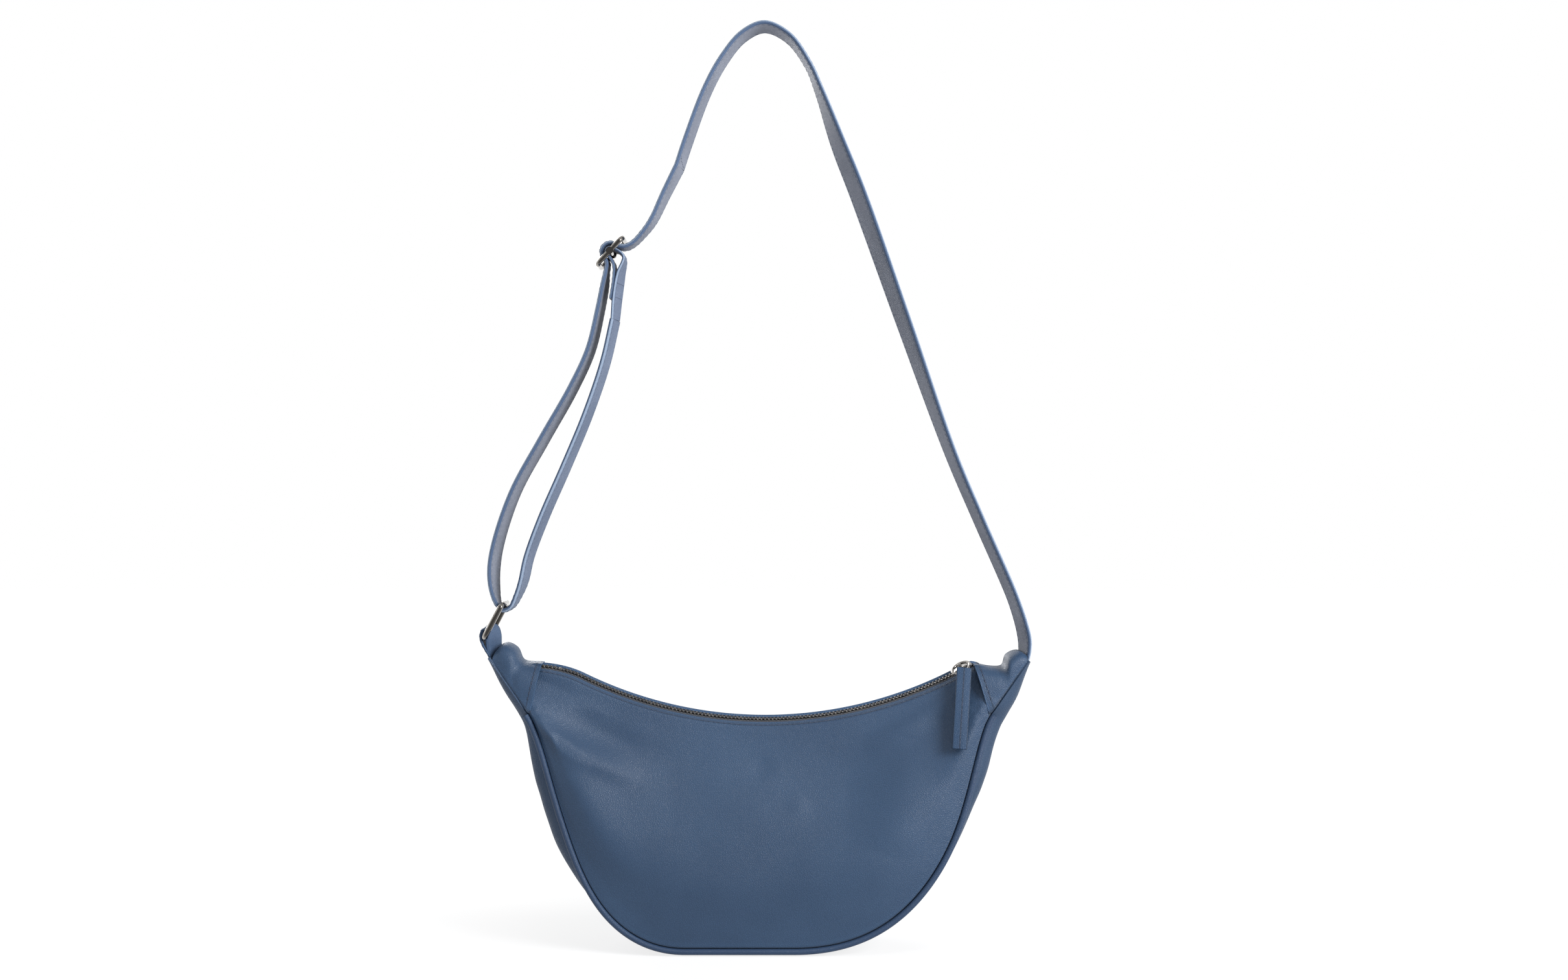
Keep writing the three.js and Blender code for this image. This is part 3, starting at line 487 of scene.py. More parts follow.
def gusset_points(u, q, inset=0.0):
    stations = seam_stations(tip_line, u)
    x, z = stations[0].T
    puff = BASE_RISE + (SIDE_PUFF - BASE_RISE) * ease(z, BASE_RISE, JOINT[1] / 2)
    puff = puff * (1 - ease(z, *PUFF_FADE))
    for hand, (more, grows, fades) in ((-1, LEFT_SWELL), (1, RIGHT_SWELL)):
        puff = puff + np.where(hand * x > 0, more * ease(z, *grows) * (1 - ease(z, *fades)), 0)
    across = 2 * q - 1
    swell = puff * (1 - np.abs(across) ** 5) ** 0.8
    return on_seam(stations, swell - inset, across * stations[2])


def beside_cap(points):
    """0 beside the panels and 1 beside the caps."""
    return ease(points[:, 2], JOINT[1] - 3, JOINT[1] + 5)


def make_gusset():
    def place(u, q):
        points = gusset_points(u, q)
        held = np.sin(np.pi * q) * ease(points[:, 2], 8, 40)
        wave = 1.1 * soft_noise(points, 38, 5) + 0.4 * soft_noise(points, 14, 6)
        points[:, [0, 2]] += seam_stations(tip_line, u)[1] * (wave * held)[:, None]
        points[:, 1] += GUSSET_LAP * beside_cap(points) * (2 * q - 1) ** 3
        return points

    obj, u, q = drape("gusset_leather", 200, 26, place)
    mark(obj, rim=np.minimum(q, 1 - q) * GUSSET_SPAN + CLEAR_OF_SEAM * beside_cap(gusset_points(u, q)))
    face_towards(obj, lambda c: (c[0], 0, c[2] + BAG_HEART))
    return thicken(obj, LEATHER)


# The top of each cap: dip from the joint and the hem's end, then shoulder, peak and end from the tip
CAP_TOP = {
    -1: ((4.4, 2.6), (-15.2, 8.2), (-7.6, 11.2), (-2.6, 6.2)),
    1: ((8.0, -0.6), (-13.2, 3.4), (-5.6, 6.2), (-0.8, 3.6)),
}
CAP_SEAM_TOP = {-1: (142.2, 181.0), 1: (140.6, 177.5)}
CAP_ROW = 2.6
CAP_BULGE, CAP_ROUND, CAP_DENT, CAP_WAVE = 1.2, 2.2, {-1: 2.4, 1: 1.2}, 0.6
joint_end = on_seam(seam_stations(body_line, np.array([1.0])), np.array([-SEAM_INSET]), 0)[0]


def cap_points(hand, t, q):
    end_angle = RIGHT_END if hand > 0 else -LEFT_END
    hem_top = on_mouth(end_angle, HEM_HALF_GAP, HEM_LIFT)[2]
    seam_top = CAP_SEAM_TOP[hand]

    def cap_edge(z):
        share = (z - joint_end[2]) / (seam_top[1] - joint_end[2])
        return joint_end[0] + (seam_top[0] - joint_end[0]) * share - CAP_LAP

    dip, *rest = (np.array(offset) for offset in CAP_TOP[hand])
    top_line = curve_through([[cap_edge(hem_top), hem_top + CAP_PROUD], np.array([JOINT[0], hem_top]) + dip,
                              *(TIP + offset for offset in rest)], 20)
    crown = at_share(top_line, t)
    foot_seam = seam_stations(cap_line, t)
    foot = foot_seam[0] - foot_seam[1] * SEAM_INSET
    half = foot_seam[2] + GAP + LEATHER + CAP_PROUD
    turn = np.pi * q
    rise = np.sin(turn) ** 0.7
    swing = -np.cos(turn)
    x = foot[:, 0] + (crown[:, 0] - foot[:, 0]) * rise
    z = foot[:, 1] + (crown[:, 1] - foot[:, 1]) * rise + swing * rise * (1 - t)
    edge = cap_edge(z)
    x = np.where(t == 0, edge, np.maximum(x, edge))
    y = half * np.sign(swing) * np.abs(swing) ** 0.6
    return columns(hand * x, y, z)


def panel_end(hand, side):
    """Heights up the end of a panel and how far out it stands there."""
    v = np.linspace(1, SHELF, 60)
    points = panel_points(side, np.full(60, 0.5 + 0.5 * hand), v)
    return points[:, 2], side * points[:, 1] + panel_relief(side, points, v)


def cap_skin(hand, t, q):
    """A cap's surface, with a dent beside its rounded outer half."""
    points = cap_points(hand, t, q)
    upward, sideways = np.sin(np.pi * q), np.abs(np.cos(np.pi * q))
    bulge = np.sin(np.pi * t) * upward**0.5
    dent = np.exp(-((t - 0.36 - 0.12 * sideways) / 0.1) ** 2) * upward**0.6
    outer = np.sin(np.pi * np.clip(1.6 * t - 0.6, 0, 1))
    wave = CAP_WAVE * soft_noise(points, 12, 11 + hand) * bulge
    out = CAP_BULGE * bulge + CAP_ROUND * outer * upward - CAP_DENT[hand] * dent + wave
    points[:, 1] += np.sign(points[:, 1]) * out * sideways
    points[:, 2] += wave
    for side in (-1, 1):
        own = side * points[:, 1]
        lapped = np.maximum(own, np.interp(points[:, 2], *panel_end(hand, side)) + CAP_PROUD)
        points[:, 1] = np.where(own > 0, side * (lapped + (own - lapped) * ease(t, 0.05, 0.3)), points[:, 1])
    return points


def make_cap(hand, name):
    """Leather folded over the end of the zip."""
    obj, t, q = drape(name, 44, 64, lambda t, q: cap_skin(hand, t, q))
    mark(obj, rim=np.minimum((1 - t) * CAP_RUN, np.minimum(q, 1 - q) * CAP_WRAP), hem=t * CAP_RUN + 0.5,
         sewn=np.abs(t * CAP_RUN - CAP_ROW))
    face_towards(obj, lambda c: (0, c[1], c[2] + CAP_HEART))
    return thicken(obj, LEATHER)


def make_lining(name, place, outward):
    obj, _, _ = drape(name, 90, 30, place)
    face_towards(obj, outward)
    return thicken(obj, LINING)


def sweep(name, centres, side_way, lift_way, section, marks=False):
    """A closed bar along centres; section is rows of (along side_way, along lift_way)."""
    steps, count = len(centres), len(section)

    def rows_at(u, v):
        return np.rint(u * (steps - 1)).astype(int), np.rint(v * count).astype(int) % count

    def place(u, v):
        i, j = rows_at(u, v)
        return centres[i] + side_way[i] * section[j, :1] + lift_way[i] * section[j, 1:]

    obj, u, v = drape(name, steps - 1, count, place)
    if marks:
        _, j = rows_at(u, v)
        mark(obj, across=section[j, 0] / np.abs(section[:, 0]).max(), face=np.sign(section[j, 1]))
    return close_up(obj)


def round_section(radius, count):
    turn = np.linspace(0, 2 * np.pi, count, endpoint=False)
    return radius * columns(np.cos(turn), np.sin(turn))


def flat_section(width, thickness, count=24):
    """A strap's section: flat faces with rolled edges."""
    turn = np.linspace(0, 2 * np.pi, count, endpoint=False) + np.pi / count
    wide = width / 2 * np.sign(np.cos(turn)) * np.abs(np.cos(turn)) ** 0.34
    thick = thickness / 2 * np.sign(np.sin(turn)) * np.abs(np.sin(turn)) ** 0.62
    return columns(wide, thick)


def bent_strip(name, line, width, thickness, count):
    """A strip as wide as X, bent along a line that is drawn round the origin."""
    wide = rows_of((1, 0, 0), len(line))
    lift = np.cross(unit(np.gradient(line, axis=0)), wide)
    return sweep(name, line + HANG, wide, lift, flat_section(width, thickness, count))


def make_piping(side, name):
    share = np.linspace(0, 1, 260)
    stations = seam_stations(body_line, share)
    centres = on_seam(stations, np.full(share.shape, PIPING_OFFSET), side * (stations[2] + PIPING_OFFSET))
    out = columns(stations[1][:, 0], 0, stations[1][:, 1])
    cord = sweep(name, centres, out, rows_of((0, 1, 0), len(share)), round_section(PIPING_RADIUS, 12))
    mark(cord, rim=np.full(len(cord.data.vertices), CLEAR_OF_SEAM))
    return smooth(cord, 60)


# Thread


def sew(name, centres, ways, normals, length, radius):
    """A row of stitches: one rounded stitch, copied along."""
    deselect_all()
    bpy.ops.mesh.primitive_uv_sphere_add(segments=6, ring_count=4, radius=1)
    shape, faces = take_shape(bpy.context.object)
    ways = unit(ways)
    sides = unit(np.cross(normals, ways))
    places = [c + shape[:, 2:] * w * length / 2 + shape[:, :1] * s * radius + shape[:, 1:2] * n * radius
              for c, w, s, n in zip(centres, ways, sides, np.cross(ways, sides))]
    return smooth(close_up(make_copies(name, faces, places), 1e-7), 80)


def sew_line(name, line, normals, pitch, length, radius, sink=0.1):
    """Stitches at an even pitch along a line of points, lying on the surface with those normals."""
    reach = lengths_along(line)
    count = max(int(reach[-1] / pitch), 1)
    marks = (np.arange(count) + 0.5) * reach[-1] / count
    up = unit(read_at(marks, reach, normals))
    ahead = columns(*(np.gradient(column, reach) for column in line.T))
    centres, ways = (read_at(marks, reach, table) for table in (line, ahead))
    return sew(name, centres - up * sink, ways, up, length, radius)


# Zip


def settle(obj, centre, turn):
    """Turns a piece drawn in metres round the origin and moves it to its place in the bag."""
    obj.data.transform(Matrix.Translation(in_row(centre)) @ turn @ obj.matrix_world)
    obj.matrix_world = Matrix.Identity(4)
    return obj


def on_zip(obj, angle):
    """Turns a piece drawn with its length along X, in metres, onto the zip."""
    drop = (ZIP_RADIUS + mouth_droop(angle)) * MM
    turn = Matrix.Rotation(-angle, 4, "Y") @ Matrix.Translation((0, 0, -drop))
    return settle(obj, [ZIP_MIDDLE, 0, ZIP_CENTRE], turn @ Matrix.Rotation(ZIP_TILT, 4, "X"))


def block(size, place, bevel, segments=2):
    """A bevelled block in millimetres."""
    deselect_all()
    bpy.ops.mesh.primitive_cube_add(size=1)
    obj = bpy.context.object
    obj.scale = [s * MM for s in size]
    obj.location = [p * MM for p in place]
    take_up(obj)
    bpy.ops.object.transform_apply(location=True, rotation=True, scale=True)
    finish_with(obj, "BEVEL", width=bevel * MM, segments=segments, limit_method="ANGLE")
    return obj


def make_tape(side, name):
    def place(u, v):
        across = TAPE_MIDDLE_GAP + (TAPE_HALF_WIDTH - TAPE_MIDDLE_GAP) * v
        return on_mouth(mouth_angle(u), side * across, TAPE_THICKNESS / 2)

    obj, _, _ = drape(name, 160, 6, place)
    face_towards(obj, lambda c: (0, -0.5, 0.87))
    return thicken(obj, TAPE_THICKNESS)


def make_teeth(side, name):
    """One tooth, with a waist and a rounded head, copied along its side of the chain."""
    parts = [block(size, (0, side * out, 0), bevel) for size, out, bevel in TOOTH_PARTS]
    shape, faces = take_shape(join_up(parts, name))
    local = shape / MM
    step = TOOTH_PITCH / ZIP_RADIUS
    start = -LEFT_END + (0.55 if side < 0 else 1.05) * step
    angles = np.arange(start, SLIDER_ANGLE + 0.5 * SLIDER_LENGTH / ZIP_RADIUS, step)
    angles = angles[np.abs(angles - STOP_ANGLE) > 0.9 * step]
    places = [on_mouth(np.full(len(local), angle), local[:, 1], local[:, 2])
              + local[:, :1] * np.array([math.cos(angle), 0, math.sin(angle)]) for angle in angles]
    return smooth(make_copies(name, faces, places), 35)


def make_stop(name, side, angle):
    """A stop on one side of the chain, or across both if side is 0."""
    width = TOP_STOP_WIDTH if side else END_STOP_WIDTH
    obj = block((STOP_LENGTH, width, STOP_HEIGHT), (0, side * TOP_STOP_OFFSET, 0), 0.4, 3)
    on_zip(obj, angle)
    obj.name = name
    return smooth(obj, 40)


def make_slider():
    plates = [block(PLATE, (0, 0, f * PLATE_LIFT), 0.55, 3) for f in (1, -1)]
    for plate in plates:
        for v in plate.data.vertices:
            reach = v.co.x / (SLIDER_LENGTH / 2 * MM)
            v.co.y *= 1 - NOSE_NARROWING * max(reach, 0) ** 2 - TAIL_NARROWING * max(-reach, 0) ** 3
    post = block(POST, (SLIDER_LENGTH / 2 - 1, 0, 0), 0.3)
    x, y, z = RAIL_AT
    rails = [block(RAIL, (x, s * y, f * z), 0.25) for s in (-1, 1) for f in (-1, 1)]
    turn = np.linspace(0, np.pi, 25)
    arch = columns(0, -CROWN_HALF_SPAN * np.cos(turn), CROWN_FOOT + CROWN_RISE * np.sin(turn) ** 0.8)
    crown = bent_strip("crown", arch, *CROWN_STRIP, 16)
    slider = join_up([*plates, post, *rails, crown], "slider")
    return smooth(on_zip(slider, SLIDER_ANGLE), 40)


def make_pull_ring():
    deselect_all()
    bpy.ops.mesh.primitive_torus_add(major_segments=64, minor_segments=14,
                                     major_radius=PULL_RING_RADIUS * MM, minor_radius=PULL_WIRE * MM)
    ring = bpy.context.object
    low = RING_LIFT - ring_reach * math.sin(PULL_FALL)
    stand = Matrix.Rotation(RING_STAND, 4, "X") @ Matrix.Translation((0, PULL_RING_RADIUS * MM, 0))
    ring.data.transform(Matrix.Translation((0, -ring_reach * math.cos(PULL_FALL) * MM, low * MM)) @ stand)
    on_zip(ring, SLIDER_ANGLE)
    ring.name = "round_pull_ring"
    return smooth(ring, 60)


def hang_tab(obj):
    """Hangs a piece drawn round the ring's front point, in metres, as the pull tab hangs."""
    return settle(obj, hook, Matrix.Rotation(TAB_SLANT, 4, "Y") @ Matrix.Rotation(-TAB_TILT, 4, "X"))


def make_pull_tab():
    """Two plies sewn down the middle, and a narrow tongue of the same leather round the ring."""
    y = -TAB_EYE - TAB_THICKNESS / 2
    plies = []
    for ply, depth in ((-1, 0.0), (1, 0.15)):
        obj = block((TAB_WIDTH - depth, PLY, TAB_LENGTH - depth),
                    (0, y + ply * PLY_OFFSET, TAB_EYE - TAB_LENGTH / 2), 0.35, 3)
        finish_with(obj, "SUBSURF", levels=1, render_levels=1, subdivision_type="SIMPLE")
        plies.append(obj)
    turn = np.linspace(math.radians(-150), math.radians(150), 31)
    loop = columns(0, (TAB_EYE + 0.4) * np.cos(turn), (TAB_EYE + 0.4) * np.sin(turn))
    tongue = bent_strip("tongue", loop, *TONGUE_STRIP, 12)
    tab = join_up([*plies, tongue], "leather_pull_tab")
    off_middle = np.abs(corners_of(tab)[:, 0]) / MM
    mark(tab, rim=TAB_WIDTH / 2 - off_middle, sewn=off_middle, hem=np.full(len(off_middle), CLEAR_OF_SEAM))
    line = columns(0, y - 1.1, np.linspace(0.5, -TAB_LENGTH + 4.5, 40))
    thread = sew_line("tab_thread", line + HANG, rows_of((0, -1, 0), 40), **TAB_STITCH)
    hang_tab(tab)
    hang_tab(thread)
    return smooth(tab, 50), thread


# Strap


def strap_frames(stops):
    """Middle line of a strap and its flat and thick directions. Stops are x, z and the roll in degrees."""
    line = curve_through([list(stop) + [0] * (3 - len(stop)) for stop in stops], PER_STOP)
    centres = columns(line[:, 0], 0, line[:, 1])
    ahead = unit(np.gradient(centres, axis=0))
    roll = np.radians(line[:, 2])[:, None]
    across = rows_of((0, 1, 0), len(line))
    flat = across * np.cos(roll) + np.cross(ahead, across) * np.sin(roll)
    return centres, flat, np.cross(ahead, flat)


def make_strap(name, frames, first=0, last=None, thickness=STRAP_THICKNESS, seam=STRAP_SEAM):
    """A stretch of folded strap leather with its two edge seams sewn on both faces."""
    stretch = slice(first, None if last is None else last + 1)
    centres, flat, thick = (table[stretch] for table in frames)
    leather = smooth(sweep(name, centres, flat, thick, flat_section(STRAP_WIDTH, thickness), True), 60)
    threads = []
    for row in (-seam, seam):
        for face in (-1, 1):
            line = centres + flat * row * STRAP_WIDTH / 2 + thick * face * thickness / 2
            threads.append(sew_line(name + "_thread", line, thick * face, **EDGE_STITCH))
    return leather, threads


def arc_stops(centre, radius, start, end, count):
    turn = np.radians(np.linspace(start, end, count + 1))
    return [[centre[0] + radius * math.cos(a), centre[1] + radius * math.sin(a)] for a in turn]


def at_buckle(d, m):
    ahead = np.array([math.cos(BUCKLE_SLOPE), math.sin(BUCKLE_SLOPE)])
    square = np.array([-ahead[1], ahead[0]])
    return list(BUCKLE_CENTRE + d * ahead + m * square)


slope = math.degrees(BUCKLE_SLOPE)
shoulder_frames = strap_frames([
    [170.6, 183, 8], [171.6, 190.6, 12], [171.4, 198, 14], [169, 208.5, 13], [164.6, 222, 12],
    [160, 233.5, 12], [141.5, 275.5, 12], [123.7, 317.5, 13], [93.6, 401.5, 20], [63.6, 485.5, 23],
    [50.4, 519.1, 20], [38.4, 552.7, 8], [31.3, 569.5, 4], [18.5, 587, 5], [3, 594.2, 6],
    [-11, 588, 7], [-23.5, 573, 8], [-34.5, 552.7, 9], [-47.1, 519.1, 10], [-52.4, 503, 10],
])
loop_frames = strap_frames([
    [-52.35, 503.1, 10], [-61.2, 485.5, 8], [-69.3, 468.7, 5], [-75.2, 460.6, 2],
    at_buckle(14, -6.4), at_buckle(9, -4.4),
    *arc_stops(BUCKLE_CENTRE, 5.6, slope, slope + 180, 8),
    at_buckle(-6.6, -2.8), at_buckle(-10.5, -5.8),
    [-100.6, 426.7, 5], [-103.8, 409.9, 7], [-109.9, 384.7, 8], [-121.4, 359.5, 9], [-140.5, 325.9, 10],
    [-158.8, 292.3, 10], [-170.1, 258.7, 11], [-172.6, 241.9, 11], [-171.9, 229, 7],
    [RING_UPPER[0] - 4, RING_UPPER[1]], [RING_UPPER[0] - 0.2, RING_UPPER[1] - 4],
    [RING_UPPER[0] + 4.6, RING_UPPER[1] - 2.2],
    [-156.4, 226.6, -4], [-153.3, 235, -7], [-149.8, 250.3, -8], [-140.5, 275.5, -9], [-125.8, 309.1, -9],
    [-111.8, 342.7, -9], [-100.4, 376.3, -9], [-94, 404, -9],
])
end_frames = strap_frames([
    [-93.9, 404.2, -9], [-92.6, 418.3, -11], [-90.4, 433, -9], at_buckle(3.2, -8.6), at_buckle(4, -4),
    *arc_stops(BUCKLE_CENTRE, 2.8, slope, slope + 180, 8),
    at_buckle(-3.3, -3.6), at_buckle(-5.5, -8.2), at_buckle(-12.5, -14.2), at_buckle(-22, -20.6),
])
# Stops of the ring tab round the ring's lower bar, from that bar's middle
RING_LOOP = [
    [-1.9, -3.8], [-2.9, 0.6], [-1.6, 4.6], [0.9, 6.2, 6], [3.2, 4.8, 14], [4.1, 0.9, 18], [4.4, -5.6, 18],
]
tab_frames = strap_frames([
    [-TIP[0] - 0.4, TIP[1] + 1.6], [-TIP[0] - 2.6, TIP[1] + 5.2],
    *([*(RING_LOWER + stop[:2]), *stop[2:]] for stop in RING_LOOP),
    [-TIP[0] + 1.2, TIP[1] + 4.5, 16], [-TIP[0] + 0.8, TIP[1] + 1.4, 12],
])


def stop_point(frames, stop):
    return tuple(in_row(frames[0][stop * PER_STOP]))


# Metal frames


def wire_loop(name, half_length, half_width, corner, radius, slope_angle, centre):
    """A rounded frame of round wire, lying along a slope in the front view."""
    corners = []
    for sx, sy, start in ((1, 1, 0), (-1, 1, 90), (-1, -1, 180), (1, -1, 270)):
        turn = np.radians(np.linspace(start, start + 90, 9))
        corners.append(columns(sx * (half_length - corner) + corner * np.cos(turn),
                               sy * (half_width - corner) + corner * np.sin(turn)))
    flat = np.vstack(corners)
    ahead = unit(np.roll(flat, -1, axis=0) - np.roll(flat, 1, axis=0))
    side = columns(ahead[:, 1], -ahead[:, 0])
    flat, side = (np.vstack([rows, rows[:1]]) for rows in (flat, side))
    along = np.array([math.cos(slope_angle), 0, math.sin(slope_angle)])
    across = np.array([0.0, 1.0, 0.0])
    centres = np.array([centre[0], 0, centre[1]]) + flat[:, :1] * along + flat[:, 1:] * across
    sides = side[:, :1] * along + side[:, 1:] * across
    lifts = rows_of(np.cross(along, across), len(flat))
    return smooth(sweep(name, centres, sides, lifts, round_section(radius, 14)), 60)


def bar(name, start, end, radius):
    centres = start + (end - start) * np.linspace(0, 1, 25)[:, None]
    ahead = unit(end - start)
    side = unit(np.cross(ahead, [0.3, 0.1, 1.0]))
    lifts = rows_of(np.cross(ahead, side), 25)
    return smooth(sweep(name, centres, rows_of(side, 25), lifts, round_section(radius, 14)), 60)


def make_square_ring():
    length = np.linalg.norm(RING_UPPER - RING_LOWER) / 2
    slope_angle = math.atan2(*(RING_UPPER - RING_LOWER)[::-1])
    return wire_loop("square_strap_ring", length, *RING_FRAME, slope_angle, (RING_LOWER + RING_UPPER) / 2)


def make_buckle():
    loop = wire_loop("buckle_loop", *BUCKLE_FRAME, BUCKLE_SLOPE, BUCKLE_CENTRE)
    middle = np.array([BUCKLE_CENTRE[0], 0, BUCKLE_CENTRE[1]])

    def across(name, start, end, radius):
        return bar(name, middle + [0, start, 0], middle + [0, end, 0], radius)

    rod = across("buckle_bar", *BUCKLE_BAR)
    inner, outer, radius = BUCKLE_KNOB
    knobs = [across("buckle_knob", s * inner, s * outer, radius) for s in (-1, 1)]
    return smooth(join_up([loop, rod, *knobs], "strap_slide_buckle"), 50)


# Finishes


def feed(tree, node, inputs):
    """Sets a node's inputs. Outputs of other nodes are wired in, anything else is a fixed value."""
    for key, value in inputs.items():
        if isinstance(value, bpy.types.NodeSocket):
            tree.links.new(value, node.inputs[key])
        else:
            node.inputs[key].default_value = value


def put_node(tree, kind, inputs=None, **settings):
    node = tree.nodes.new(kind)
    for key, value in settings.items():
        setattr(node, key, value)
    feed(tree, node, inputs or {})
    return node


def math_node(tree, operation, *values):
    return put_node(tree, "ShaderNodeMath", dict(enumerate(values)), operation=operation).outputs[0]


def spread(tree, value, low, high, out_low=0.0, out_high=1.0):
    inputs = {"Value": value, "From Min": low, "From Max": high, "To Min": out_low, "To Max": out_high}
    return put_node(tree, "ShaderNodeMapRange", inputs, interpolation_type="SMOOTHSTEP").outputs["Result"]


def tint(tree, share, first, second):
    first, second = ((*c, 1) if isinstance(c, tuple) else c for c in (first, second))
    inputs = {"Factor": share, 6: first, 7: second}
    return put_node(tree, "ShaderNodeMix", inputs, data_type="RGBA").outputs[2]


def times(colour, share):
    return tuple(c * share for c in colour)


def object_place(tree):
    return put_node(tree, "ShaderNodeTexCoord").outputs["Object"]


def measure(tree, name):
    """A measure that mark() has stored on the surface."""
    return put_node(tree, "ShaderNodeAttribute", attribute_name=name).outputs["Fac"]


def emboss(tree, shader, height, strength, distance):
    bump = put_node(tree, "ShaderNodeBump", {"Height": height, "Strength": strength, "Distance": distance})
    feed(tree, shader, {"Normal": bump.outputs["Normal"]})


def group(name, inputs, outputs):
    tree = bpy.data.node_groups.new(name, "ShaderNodeTree")
    for label, value in inputs.items():
        socket = tree.interface.new_socket(label, in_out="INPUT", socket_type="NodeSocketFloat")
        socket.default_value = value
    for label in outputs:
        tree.interface.new_socket(label, in_out="OUTPUT", socket_type="NodeSocketFloat")
    return tree, tree.nodes.new("NodeGroupInput").outputs, tree.nodes.new("NodeGroupOutput")


def pebble_group():
    """Leather grain: pebbles with creases between them, and pores, on Object coordinates."""
    tree, given, end = group("Leather pebbles", {"Pebbles": 900.0, "Softness": 0.5}, ("Height", "Crease"))
    place = object_place(tree)
    bend = put_node(tree, "ShaderNodeTexNoise", {"Vector": place, "Scale": 240, "Detail": 2})
    shifted = put_node(tree, "ShaderNodeVectorMath", {0: bend.outputs["Color"], 1: (0.0012,) * 3, 2: place},
                       operation="MULTIPLY_ADD")
    cells = put_node(tree, "ShaderNodeTexVoronoi", {"Vector": shifted.outputs[0], "Scale": given["Pebbles"]},
                     feature="DISTANCE_TO_EDGE")
    fine = put_node(tree, "ShaderNodeTexNoise", {"Vector": place, "Scale": 2600, "Detail": 3})
    hill = spread(tree, cells.outputs["Distance"], 0.0, 0.32)
    feed(tree, end, {
        "Height": math_node(tree, "MULTIPLY_ADD", fine.outputs["Fac"], given["Softness"], hill),
        "Crease": math_node(tree, "SUBTRACT", 1.0, hill),
    })
    return tree


def cloud_group():
    """Slow change of tone over a surface."""
    tree, given, end = group("Hide tone", {"Patches": 14.0}, ("Tone",))
    broad = put_node(tree, "ShaderNodeTexNoise", {"Vector": object_place(tree), "Scale": given["Patches"],
                                                  "Detail": 4, "Roughness": 0.6})
    feed(tree, end, {"Tone": spread(tree, broad.outputs["Fac"], 0.2, 0.8)})
    return tree


pebbles, clouds = pebble_group(), cloud_group()


def use_group(tree, source, **values):
    return put_node(tree, "ShaderNodeGroup", values, node_tree=source).outputs


def new_finish(name):
    material = bpy.data.materials.new(name)
    material.use_nodes = True
    tree = material.node_tree
    return material, tree, tree.nodes["Principled BSDF"]


def leather_finish(name, deep, pale, grain=1000.0, roughness=0.36, sewn=False):
    """Coated leather: fine pebbles, a slow change of tone, painted shade in grain creases and seams, rubbed
    paler beside the seams; when sewn, painted shade on the stitch row and a painted highlight on the hem.
    """
    material, tree, shader = new_finish(name)
    skin = use_group(tree, pebbles, Pebbles=grain, Softness=0.45)
    colour = tint(tree, use_group(tree, clouds, Patches=9.0)["Tone"], deep, pale)
    # Painted shade: the grain's creases are darkened in the colour.
    colour = tint(tree, math_node(tree, "MULTIPLY", skin["Crease"], 0.3), colour, times(deep, 0.55))
    rim = measure(tree, "rim")
    rubbed = math_node(tree, "MULTIPLY", spread(tree, rim, 0.6, 1.6), spread(tree, rim, 4.0, 2.0))
    colour = tint(tree, math_node(tree, "MULTIPLY", rubbed, 0.08), colour, times(pale, 1.7))
    # Painted shade: the colour darkens within a millimetre of a piece's edge, where the seams lie.
    seam_shade = spread(tree, rim, 0.0, 1.0, 0.8, 0.0)
    if sewn:
        # Painted highlight: the hem's edge is coloured paler, as light catching its rolled edge.
        painted_hem_highlight = spread(tree, measure(tree, "hem"), 0.3, 1.1, 0.28, 0.0)
        colour = tint(tree, painted_hem_highlight, colour, times(pale, 2.2))
        # Painted shade: the colour also darkens along the sewn row.
        row = spread(tree, measure(tree, "sewn"), 0.2, 0.7, 0.75, 0.0)
        seam_shade = math_node(tree, "MAXIMUM", seam_shade, row)
    feed(tree, shader, {
        "Base Color": tint(tree, seam_shade, colour, times(deep, 0.35)),
        "Roughness": math_node(tree, "MULTIPLY_ADD", skin["Crease"], 0.2, roughness),
        "Specular IOR Level": 0.36, "Sheen Weight": 0.03, "Sheen Roughness": 0.4,
    })
    emboss(tree, shader, skin["Height"], 0.3, 0.0004)
    return material


def strap_finish(name, outer_deep, outer_pale, inner_deep, inner_pale, edge_colour, painted_edge_highlight):
    """Strap leather: coloured outside with rolled edges that carry a painted highlight, greyer inside, with
    painted shade in grain creases.
    """
    material, tree, shader = new_finish(name)
    skin = use_group(tree, pebbles, Pebbles=1100.0, Softness=0.5)
    tone = use_group(tree, clouds, Patches=30.0)["Tone"]
    face, across = measure(tree, "face"), measure(tree, "across")
    outer, inner = tint(tree, tone, outer_deep, outer_pale), tint(tree, tone, inner_deep, inner_pale)
    colour = tint(tree, spread(tree, face, -0.2, 0.2), outer, inner)
    # Painted highlight: the rolled edges turn pale on the outer face's side.
    edge_and_highlight = tint(tree, spread(tree, face, 0.1, -0.6), edge_colour, painted_edge_highlight)
    colour = tint(tree, spread(tree, math_node(tree, "ABSOLUTE", across), 0.82, 0.91), colour, edge_and_highlight)
    ply_line = spread(tree, math_node(tree, "ABSOLUTE", face), 0.5, 0.2)
    colour = tint(tree, math_node(tree, "MULTIPLY", ply_line, 0.6), colour, times(edge_colour, 0.4))
    # Painted shade: the grain's creases are darkened in the colour.
    grain_shade = math_node(tree, "MULTIPLY", skin["Crease"], 0.25)
    feed(tree, shader, {
        "Base Color": tint(tree, grain_shade, colour, times(outer_deep, 0.5)),
        "Roughness": math_node(tree, "MULTIPLY_ADD", skin["Crease"], 0.2, 0.5),
        "Specular IOR Level": 0.3,
    })
    emboss(tree, shader, skin["Height"], 0.2, 0.0004)
    return material


